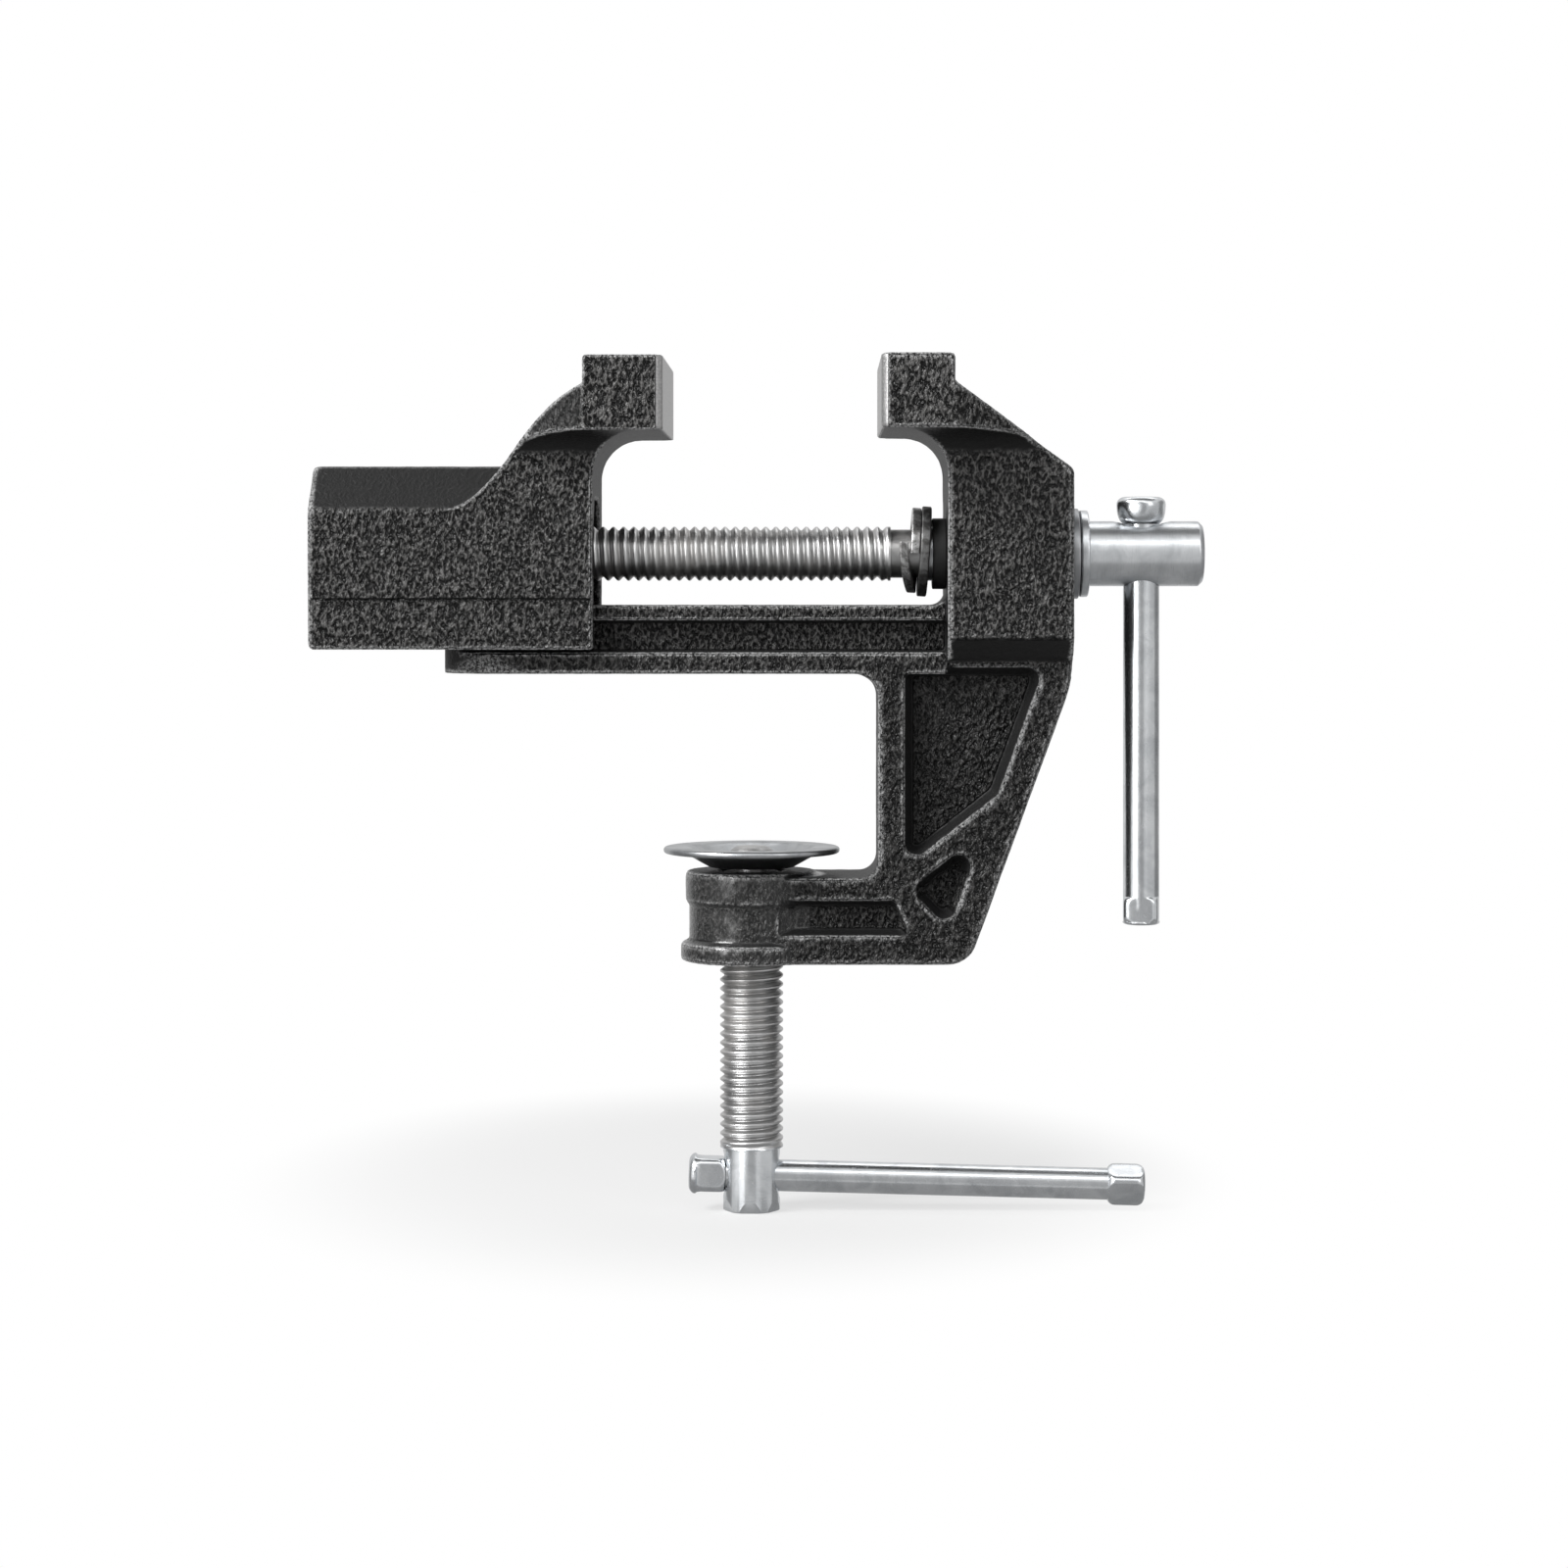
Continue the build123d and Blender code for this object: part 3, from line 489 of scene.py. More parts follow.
@dataclass
class Shell:
    """Points and faces of a closed surface."""

    points: np.ndarray
    faces: list[list[int]]

    @classmethod
    def grid(cls, points: np.ndarray, shift: int = 0, capped: bool = True) -> "Shell":
        """Joins a grid of points into a tube.

        The first index runs along the piece and the second round it. The last column meets
        the first again, moved on by shift rows, so a thread's turns join up.

        Args:
            points: array of rows, columns and three coordinates.
            shift: rows between one turn and the next.
            capped: whether the ends are closed.

        Returns:
            The shell.
        """
        rows, columns = points.shape[:2]
        row, column = np.meshgrid(np.arange(rows - 1), np.arange(columns), indexing="ij")
        wrap = column == columns - 1
        ahead = row + np.where(wrap, shift, 0)
        following = np.where(wrap, 0, column + 1)
        quads = np.stack([row * columns + column, ahead * columns + following,
                          (ahead + 1) * columns + following, (row + 1) * columns + column], -1)
        quads = quads[ahead + 1 < rows]
        faces = quads.reshape(-1, 4).tolist()
        if capped and not shift:
            faces.append(list(range(columns))[::-1])
            faces.append(list(range((rows - 1) * columns, rows * columns)))
        return cls(points.reshape(-1, 3), faces)

    def __add__(self, other: "Shell") -> "Shell":
        """Both shells as one."""
        moved = [[corner + len(self.points) for corner in face] for face in other.faces]
        return Shell(np.vstack([self.points, other.points]), self.faces + moved)

    def mesh_object(self, name: str, crease: float = CREASE) -> bpy.types.Object:
        """Makes the piece: welded, facing outwards, smooth except at creases.

        Args:
            name: the piece's name.
            crease: angle in degrees past which an edge stays sharp.

        Returns:
            The new object, at the origin.
        """
        mesh = bpy.data.meshes.new(name)
        mesh.from_pydata((self.points * MM).tolist(), [], self.faces)
        tidy = bmesh.new()
        tidy.from_mesh(mesh)
        bmesh.ops.remove_doubles(tidy, verts=tidy.verts, dist=1e-6)
        bmesh.ops.dissolve_degenerate(tidy, edges=tidy.edges, dist=SLIVER)
        bmesh.ops.recalc_face_normals(tidy, faces=tidy.faces)
        tidy.to_mesh(mesh)
        tidy.free()
        shade(mesh, crease)
        return placed(name, mesh)


def shade(mesh: bpy.types.Mesh, crease: float) -> None:
    """Smooth shading, with edges past the crease angle left sharp."""
    mesh.shade_smooth()
    mesh.set_sharp_from_angle(angle=radians(crease))


def rounded(corners: list[tuple[float, float, float]], steps: int = 5) -> np.ndarray:
    """Open profile with rounded corners.

    Each inner corner (a, b, radius) is replaced by an arc that touches both its sides; the
    arc's tangent length is radius times the tangent of half the turn.

    Args:
        corners: places and radii in order.
        steps: points on each arc.

    Returns:
        Array of profile points.
    """
    made: list[np.ndarray] = []
    for index, (a, b, radius) in enumerate(corners):
        here = np.array([a, b])
        if radius <= 0 or index in (0, len(corners) - 1):
            made.append(here[None])
            continue
        before = np.array(corners[index - 1][:2]) - here
        after = np.array(corners[index + 1][:2]) - here
        before, after = before / np.linalg.norm(before), after / np.linalg.norm(after)
        half = 0.5 * np.arccos(np.clip(before @ after, -1, 1))
        middle = here + (before + after) / np.linalg.norm(before + after) * radius / np.sin(half)
        start, end = here + before * radius / np.tan(half), here + after * radius / np.tan(half)
        first = atan2(*(start - middle)[::-1])
        sweep = (atan2(*(end - middle)[::-1]) - first + pi) % (2 * pi) - pi
        angle = first + sweep * np.linspace(0, 1, steps)
        made.append(middle + radius * np.stack([np.cos(angle), np.sin(angle)], -1))
    return np.vstack(made)


def lathe(axis: Axis, profile: np.ndarray, columns: int = 72) -> Shell:
    """Turns a profile about an axis.

    A point at travel t and radius r goes to t along the axis and r times the cosine and sine
    of the angle along its two square directions.

    Args:
        axis: the centre line.
        profile: rows of travel and radius.
        columns: steps round the circle.

    Returns:
        The closed shell.
    """
    angle = np.linspace(0, 2 * pi, columns, endpoint=False)
    radius = profile[:, 1][:, None]
    travel = np.repeat(profile[:, 0][:, None], columns, axis=1)
    ring_like = np.hypot(*(profile[0] - profile[-1])) < 1e-6
    points = axis.spread(travel, radius * np.cos(angle), radius * np.sin(angle))
    return Shell.grid(points, capped=not ring_like)


def threaded(axis: Axis, start: float, end: float, crest: float, root: float, pitch: float,
             fade: tuple[float, float], columns: int = 64) -> Shell:
    """Right-hand thread as one ruled ribbon.

    The radius follows a flat-topped wave of the travel left after the turn's share of the
    pitch is taken off. Grid lines follow the helix, so each crest is one clean line. The
    wave's depth fades to nothing over the given lengths at the two ends.

    Args:
        axis: the screw's centre line.
        start: where the thread starts along it.
        end: where it stops.
        crest: outer radius.
        root: radius at the bottom of the groove.
        pitch: advance of one turn.
        fade: run-out lengths at start and end.
        columns: steps round one turn.

    Returns:
        The shell with both ends closed by small flats.
    """
    shares = np.array([0.0, 0.06, 0.13, 0.30, 0.42, 0.50, 0.58, 0.70, 0.87, 0.94])
    level = np.array([1.0, 1.0, 0.9, 0.42, 0.08, 0.0, 0.08, 0.42, 0.9, 1.0])
    turns = int((end - start) / pitch) + 3
    travel = (np.arange(turns)[:, None] * pitch + shares * pitch).ravel() + start - pitch
    height = np.tile(level, turns)
    angle = np.linspace(0, 2 * pi, columns, endpoint=False)
    place = travel[:, None] + pitch * angle / (2 * pi)
    strength = (np.clip((place - start) / max(fade[0], 1e-6), 0, 1)
                * np.clip((end - place) / max(fade[1], 1e-6), 0, 1))
    radius = crest - (crest - root) * (1 - height[:, None]) * strength
    place = np.clip(place, start, end)
    body = Shell.grid(axis.spread(place, radius * np.cos(angle), radius * np.sin(angle)),
                      shift=len(shares))
    core = rounded([(start, 0, 0), (start, crest, 0), (start + 0.01, root * 0.98, 0),
                    (end - 0.01, root * 0.98, 0), (end, crest, 0), (end, 0, 0)])
    return body + lathe(axis, core)


SCRAMBLE = np.array([73856093, 19349663, 83492791])     # one large prime for each axis
STIR = 1274126177


def lumps(points: np.ndarray, cell: float, seed: int) -> np.ndarray:
    """Smooth noise between 0 and 1.

    Every corner of a cubic lattice gets a scrambled value, and a point takes the mix of its
    eight corners by the smooth step of its place in the cell.

    Args:
        points: rows of X, Y and Z in millimetres.
        cell: size of a lattice cell.
        seed: picks another pattern.

    Returns:
        One value per point.
    """
    scaled = points / cell
    base = np.floor(scaled).astype(np.int64)
    inside = scaled - base
    inside = inside * inside * (3 - 2 * inside)
    total = np.zeros(len(points))
    for corner in product((0, 1), repeat=3):
        spot = base + np.array(corner)
        code = np.bitwise_xor.reduce(spot * SCRAMBLE, axis=1) ^ seed
        code = (code ^ (code >> 13)) * STIR
        value = ((code ^ (code >> 16)) & 0xFFFF) / 0xFFFF
        weight = np.prod(np.where(np.array(corner), inside, 1 - inside), axis=1)
        total += value * weight
    return total


def soft_copy(node: str, name: str, voxel: float, passes: int) -> bpy.types.Object:
    """Even-meshed copy of a casting with its edges softened.

    The copy is welded, rebuilt on a grid of small cells and relaxed. It is then drawn back
    to the solid and relaxed once more, so that faces keep their place and edges are rounded
    by about a cell, as paint and sand do.

    Args:
        node: the solid to follow.
        name: name of the new piece.
        voxel: cell size in millimetres.
        passes: how often it is relaxed.

    Returns:
        The new object, with nothing left to apply.
    """
    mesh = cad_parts[node].data.copy()
    weld = bmesh.new()
    weld.from_mesh(mesh)
    bmesh.ops.remove_doubles(weld, verts=weld.verts, dist=2e-6)
    weld.to_mesh(mesh)
    weld.free()
    rough = placed(name, mesh)
    for kind, settings in (
            ("REMESH", {"mode": "VOXEL", "voxel_size": voxel * MM}),
            ("SMOOTH", {"factor": 0.5, "iterations": passes}),
            ("SHRINKWRAP", {"wrap_method": "NEAREST_SURFACEPOINT", "wrap_mode": "ON_SURFACE",
                            "target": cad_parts[node]}),
            ("SMOOTH", {"factor": 0.5, "iterations": 1})):
        add_modifier(rough, kind, settings)
    return apply_modifiers(rough)


def add_modifier(piece: bpy.types.Object, kind: str, settings: Settings) -> None:
    """Adds a modifier with these settings below the others."""
    made = piece.modifiers.new(kind.lower(), kind)
    for name, value in settings.items():
        setattr(made, name, value)


def apply_modifiers(piece: bpy.types.Object) -> bpy.types.Object:
    """Bakes a piece's modifiers into its mesh.

    Args:
        piece: the object to finish.

    Returns:
        The same object with a plain mesh.
    """
    bpy.context.view_layer.update()
    graph = bpy.context.evaluated_depsgraph_get()
    done = bpy.data.meshes.new_from_object(piece.evaluated_get(graph))
    old = piece.data
    piece.modifiers.clear()
    piece.data = done
    done.name = piece.name
    bpy.data.meshes.remove(old)
    return piece


def cut_away(piece: bpy.types.Object, tool: Shell, crease: float = CREASE) -> bpy.types.Object:
    """Cuts a shell's volume out of a piece.

    Args:
        piece: what is cut.
        tool: the closed volume to take away.
        crease: angle in degrees past which an edge stays sharp.

    Returns:
        The cut piece.
    """
    cutter = tool.mesh_object("cutter")
    add_modifier(piece, "BOOLEAN",
                 {"operation": "DIFFERENCE", "solver": "EXACT", "object": cutter})
    apply_modifiers(piece)
    bpy.data.objects.remove(cutter)
    shade(piece.data, crease)
    return piece


def flared(hole: float, mouth: float, surface: float, depth: float, steps: int) -> np.ndarray:
    """Profile of a cross hole's mouth, as rows of distance from the screw's axis and radius.

    Over the depth below the surface the radius grows from the hole's to the mouth's along a
    quarter circle.

    Args:
        hole: radius of the hole.
        mouth: radius at the surface.
        surface: distance of the surface from the screw's axis.
        depth: how deep the mouth reaches.
        steps: number of rows.

    Returns:
        The rows, from the inside out.
    """
    rise = np.linspace(0, 1, steps)
    return np.stack([surface - depth + rise * depth,
                     hole + (mouth - hole) * (1 - np.sqrt(1 - rise ** 2))], -1)


def plate_head(piece: bpy.types.Object, plate: ZincPlate, axis: int, start: float,
               side: float) -> bpy.types.Object:
    """Gives the faces of a screw's head a finish of their own.

    Args:
        piece: the dressed screw.
        plate: the head's finish.
        axis: 0 for a screw along X, 2 for one along Z.
        start: where the head starts along the axis.
        side: 1 when the head lies past that place, -1 when it lies before.

    Returns:
        The same object.
    """
    piece.data.materials.append(plate.material())
    centres = np.empty(len(piece.data.polygons) * 3)
    piece.data.polygons.foreach_get("center", centres)
    past = (centres.reshape(-1, 3)[:, axis] - start * MM) * side > 0
    piece.data.polygons.foreach_set("material_index", past.astype(np.int32))
    return piece


def dress(piece: bpy.types.Object, finish: bpy.types.Material, body: str, node: str) -> bpy.types.Object:
    """Gives a piece its finish, ties it to the body it moves with, and hides the solid that it stands
    for.

    Args:
        piece: the object.
        finish: its material.
        body: the body it moves with.
        node: the solid that it replaces.

    Returns:
        The same object.
    """
    piece.data.materials.clear()
    piece.data.materials.append(finish)
    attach(piece, body)
    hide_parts(node)
    log.info("%s: %d faces", piece.name, len(piece.data.polygons))
    return piece


# ---- castings ----------------------------------------------------------------------------
@dataclass
class Casting:
    """One of the two iron castings, softened and given the pebbled skin of its paint."""

    name: str
    node: str
    body: str
    paint: CastingPaint
    voxel: float
    passes: int = 2
    skin_depth: float = 0.26        # deepest hollow between lumps on the flat sides
    skin_cell: float = 1.6
    swell_cell: float = 9.0
    swell_depth: float = 0.12
    facing_start: float = 0.75      # how squarely a face looks sideways: lumps start there
    facing_span: float = 0.2        # and are full this much further
    calm_share: float = 0.25        # of the skin's depth, on faces that look elsewhere
    skin_seed: int = 7
    swell_seed: int = 21
    coat: float = 0.13              # how far the paint stands off the open sides
    guide_half: float = 13.8        # half width of the guide bar's slideways
    guide_rise: Span = (-0.5, 46.0)
    boss_top: float = -44.0

    def build(self) -> bpy.types.Object:
        """Softens the solid's copy, then sinks hollows between the lumps.

        Each point moves inwards along its own direction by the skin depth times the noise, more where
        the surface faces the side, and by a slow swell, less the paint's own thickness. The ground face
        is left as it is; the slideways get the hollows only, without the swell and the paint's
        thickness.

        Returns:
            The bare piece.
        """
        piece = soft_copy(self.node, self.name, self.voxel, self.passes)
        mesh = piece.data
        count = len(mesh.vertices)
        flat, direction = np.empty(count * 3), np.empty(count * 3)
        mesh.vertices.foreach_get("co", flat)
        mesh.vertices.foreach_get("normal", direction)
        spots, normals = flat.reshape(-1, 3) / MM, direction.reshape(-1, 3)
        sideways = np.clip((np.abs(normals[:, 1]) - self.facing_start) / self.facing_span, 0, 1)
        turned = np.stack([(spots[:, 0] + spots[:, 2]) * 0.5, spots[:, 1],
                           (spots[:, 0] - spots[:, 2]) * 0.85], -1)
        share = self.calm_share + (1 - self.calm_share) * sideways
        hollow = lumps(turned, self.skin_cell, self.skin_seed) * self.skin_depth * share
        swell = lumps(spots, self.swell_cell, self.swell_seed) * self.swell_depth
        bare = self.ground_face(spots)
        shift = np.where(self.slideway(spots), hollow, hollow + swell - self.coat)
        spots = spots - normals * (shift * (1 - bare))[:, None]
        low, high = (np.array(corner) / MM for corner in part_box(self.node))
        mesh.vertices.foreach_set("co", (np.clip(spots, low, high) * MM).ravel())
        mesh.update()
        mesh.shade_smooth()
        return piece

    def ground_face(self, spots: np.ndarray) -> np.ndarray:
        """1 near the ground grip face and 0 elsewhere."""
        off = (spots[:, 0] - self.paint.grip_x) * self.paint.grip_side
        return ((off < 1.6) & (spots[:, 2] > self.paint.grip_bottom - 0.6)).astype(float)

    def slideway(self, spots: np.ndarray) -> np.ndarray:
        """True where nothing may swell: on the guide bar, in its channel, on top of the boss."""
        low, high = self.guide_rise
        tall = spots[:, 2]
        guide = (np.abs(spots[:, 1]) < self.guide_half) & (tall > low) & (tall < high)
        return guide | (np.abs(tall - self.boss_top) < 0.8)

    def dressed(self) -> bpy.types.Object:
        """Builds the casting and paints it."""
        return dress(self.build(), self.paint.material(), self.body, self.node)


# ---- vise screw and its rings ------------------------------------------------------------
@dataclass
class ViseScrew:
    """The screw that closes the jaws: thread, groove, collar and cross-drilled head."""

    z: float = 26.4
    tip: float = -53.7
    radius: float = 6.0
    root: float = 5.15
    pitch: float = 2.25
    thread_end: float = 30.6
    groove: tuple[float, float] = (30.8, 37.6)
    groove_radius: float = 5.35
    collar: tuple[float, float] = (72.6, 74.5)
    collar_radius: float = 9.6
    head_end: float = 99.9
    head_radius: float = 7.2
    hole_x: float = 86.4
    hole_radius: float = 4.3
    lower_radius: float = 4.12
    mouth_radius: float = 6.6
    mouth_depth: float = 2.4
    overshoot: float = 1.5          # how far the cutter reaches past the head

    def axis(self) -> Axis:
        """The screw's centre line, along X."""
        return Axis((0.0, 0.0, self.z), (1.0, 0.0, 0.0), (0.0, 1.0, 0.0))

    def head_tool(self) -> Shell:
        """Cross hole with a flared mouth above and a plain, narrower one below.

        Returns:
            The cutting volume.
        """
        end = self.head_radius + self.overshoot
        lower = [(-end, 0.0), (-end, self.lower_radius),
                 (-self.head_radius + 3.0, self.lower_radius),
                 (-self.head_radius + 3.2, self.hole_radius)]
        mouth = flared(self.hole_radius, self.mouth_radius, self.head_radius,
                       self.mouth_depth, 9)
        upper = [(end, self.mouth_radius + 0.8), (end, 0.0)]
        across = Axis((self.hole_x, 0.0, self.z), (0.0, 0.0, 1.0), (1.0, 0.0, 0.0))
        return lathe(across, np.vstack([lower, mouth, upper]), 64)

    def build(self) -> bpy.types.Object:
        """Thread and turned head as one piece, then the cross hole.

        Returns:
            The bare piece.
        """
        thread = threaded(self.axis(), self.tip, self.thread_end, self.radius, self.root,
                          self.pitch, (1.6, 1.6))
        start, (near, far), (front, back) = self.thread_end - 0.4, self.groove, self.collar
        head = rounded([
            (start, 0, 0), (start, self.radius, 0), (near, self.radius, 0.15),
            (near, self.groove_radius, 0.1), (far, self.groove_radius, 0.1),
            (far, self.radius, 0.15), (front, self.radius, 0),
            (front, self.collar_radius, 0.35), (back, self.collar_radius, 0.45),
            (back, self.head_radius, 0.2), (self.head_end - 1.0, self.head_radius, 0.5),
            (self.head_end, self.head_radius - 1.0, 0.5), (self.head_end, 0, 0)])
        screw = (thread + lathe(self.axis(), head, 96)).mesh_object("vise_screw_body")
        return cut_away(screw, self.head_tool())

    def dressed(self) -> bpy.types.Object:
        """Thread in worn steel, shank and head in zinc.

        Returns:
            The finished piece.
        """
        worn = ThreadSteel("vise_thread_steel", ScrewAxis.X, (0.0, 0.0, self.z), self.radius,
                           self.root)
        plate = ZincPlate("vise_head_zinc", grain=(3.0, 0.12, 0.12), mark_depth=0.02,
                          mark_tone=0.8)
        piece = dress(self.build(), worn.material(), "vise_screw", "vise_screw")
        return plate_head(piece, plate, 0, self.groove[1], 1.0)


@dataclass
class FlatRing:
    """A washer or spacer with slightly rounded edges."""

    name: str
    node: str
    body: str
    slot: str
    axis: Axis
    thickness: float
    outer: float
    inner: float
    edge: float
    finish: DarkSteel | BlackRing | ZincPlate

    def build(self) -> bpy.types.Object:
        """Turns a rounded rectangle about the ring's axis, centred on its origin.

        Returns:
            The bare ring.
        """
        half = self.thickness / 2
        middle = (self.outer + self.inner) / 2
        loop = rounded([(-half, middle, 0), (-half, self.outer, self.edge),
                        (half, self.outer, self.edge), (half, self.inner, self.edge * 0.6),
                        (-half, self.inner, self.edge * 0.6), (-half, middle, 0)])
        return lathe(self.axis, loop, 96).mesh_object(self.name)

    def dressed(self) -> bpy.types.Object:
        """Builds the ring and gives it its finish."""
        return dress(self.build(), self.finish.material(), self.body, self.node)


@dataclass
class SplitRing:
    """Spring washer: one turn of a square wire whose free end is bent away at the front."""

    axis: Axis
    wire: float = 2.0
    inner: float = 6.15
    outer: float = 9.45
    start: float = -4.0             # degrees from the front, upwards
    sweep: float = 374.0
    bend: float = 2.5               # how far the free end stands off along the axis
    bend_share: float = 0.3
    edge: float = 0.3
    steps: int = 100

    def build(self) -> bpy.types.Object:
        """Carries a rounded square section round the turn.

        Along the axis the section stays put until the last share of the turn, and then
        moves by the bend times the smooth step of the share gone.

        Returns:
            The bare washer.
        """
        half, deep = self.wire / 2, (self.outer - self.inner) / 2
        corners = [(-half, deep), (half, deep), (half, -deep), (-half, -deep)]
        section = rounded([(-half, 0, 0), *((a, b, self.edge) for a, b in corners),
                           (-half, 0, 0)], 4)[:-1]
        gone = np.linspace(0, 1, self.steps)[:, None]
        late = np.clip((gone - 1 + self.bend_share) / self.bend_share, 0, 1)
        angle = np.radians(self.start + self.sweep * gone)
        reach = (self.outer + self.inner) / 2 + section[:, 1]
        travel = self.bend * late * late * (3 - 2 * late) + section[:, 0]
        points = self.axis.spread(travel, reach * np.cos(angle), reach * np.sin(angle))
        return Shell.grid(points).mesh_object("split_washer_ring")

    def dressed(self) -> bpy.types.Object:
        """Builds the washer in steel."""
        steel = DarkSteel("split_washer_steel", tone=0.6, dark=0.16, roughness=0.2)
        return dress(self.build(), steel.material(), "vise_screw", "split_washer")


# ---- sliding handles ---------------------------------------------------------------------
@dataclass(frozen=True)
class Pinch:
    """An upset end of a sliding bar, with four flats."""

    radius: float
    turn: float                     # degrees from the bar's side to the first flat
    ratio: float = 0.8              # flats across, as a share of the end's width
    lip: float = 0.0                # depth over which the outer rim stays round
    bowl: float = 0.0               # how far the end draws in towards the bar


@dataclass
class SlidingBar:
    """Bar whose ends are upset and pinched on four sides, so that it can't slide out."""

    name: str
    node: str
    body: str
    axis: Axis
    radius: float
    length: float
    end_length: float
    first: Pinch
    last: Pinch
    grain: Point
    end_radius: float = 1.9
    crispness: float = 26.0         # how sharp the edges of the flats are
    flat_start: float = 0.7         # depth over which the flats reach their full width
    rim_swell: float = 1.02         # a flat this much wider than the end leaves it round
    columns: int = 104
    rows: int = 26
    crease: float = 26.0

    def pinched(self, depth: np.ndarray, end: Pinch) -> np.ndarray:
        """Radius of one end for every depth and angle.

        A disc with both rims rounded gives the outline. The flats limit it: each allows its
        half distance over the cosine of the angle from its middle. A soft minimum joins
        them, and the plain bar takes over where it is the thicker. The flats start past
        the rim's lip, and a bowl-shaped end draws in with the square of the depth.

        Args:
            depth: distance from the end's outer face, along the rows.
            end: the end's size and turn.

        Returns:
            Radii as rows by columns.
        """
        angle = np.linspace(0, 2 * pi, self.columns, endpoint=False) - radians(end.turn)
        rim = self.end_radius
        edge = np.clip(np.minimum(depth, self.end_length - depth), 0, rim)
        disc = (end.radius - rim + np.sqrt(rim ** 2 - (rim - edge) ** 2))[:, None]
        half = end.radius * end.ratio
        wide = end.radius * self.rim_swell
        narrowed = np.clip((depth - end.lip) / self.flat_start, 0, 1)[:, None]
        inward = np.clip((depth - rim) / (self.end_length - rim), 0, 1)[:, None]
        disc = disc - end.bowl * inward ** 2
        half = wide + (half - wide) * narrowed
        limits = (1 / disc, np.abs(np.cos(angle)) / half, np.abs(np.sin(angle)) / half)
        joined = sum(limit ** self.crispness for limit in limits) ** (-1 / self.crispness)
        inner = (depth > self.end_length / 2)[:, None]
        return np.where(inner, np.maximum(joined, self.radius), joined)

    def build(self) -> bpy.types.Object:
        """Works out the bar as one surface of travel and angle.

        Returns:
            The bare bar.
        """
        quarter = self.end_radius * (1 - np.cos(np.linspace(0, pi / 2, 9)))
        depth = np.concatenate([quarter, np.linspace(self.end_radius,
                                                     self.end_length - self.end_radius, 7)[1:-1],
                                self.end_length - quarter[::-1]])
        plain = np.linspace(self.end_length, self.length - self.end_length, self.rows)[1:-1]
        bar = np.full((len(plain), self.columns), self.radius)
        radius = np.vstack([self.pinched(depth, self.first), bar,
                            self.pinched(depth, self.last)[::-1]])
        travel = np.concatenate([depth, plain, self.length - depth[::-1]])
        angle = np.linspace(0, 2 * pi, self.columns, endpoint=False)
        spread = np.repeat(travel[:, None], self.columns, axis=1)
        points = self.axis.spread(spread, radius * np.cos(angle), radius * np.sin(angle))
        return Shell.grid(points).mesh_object(self.name, self.crease)

    def dressed(self) -> bpy.types.Object:
        """Builds the bar in bright zinc."""
        plate = ZincPlate(self.name + "_zinc", tone=0.84, shade=0.62, roughness=0.13,
                          grain=self.grain, mark_depth=0.01)
        return dress(self.build(), plate.material(), self.body, self.node)


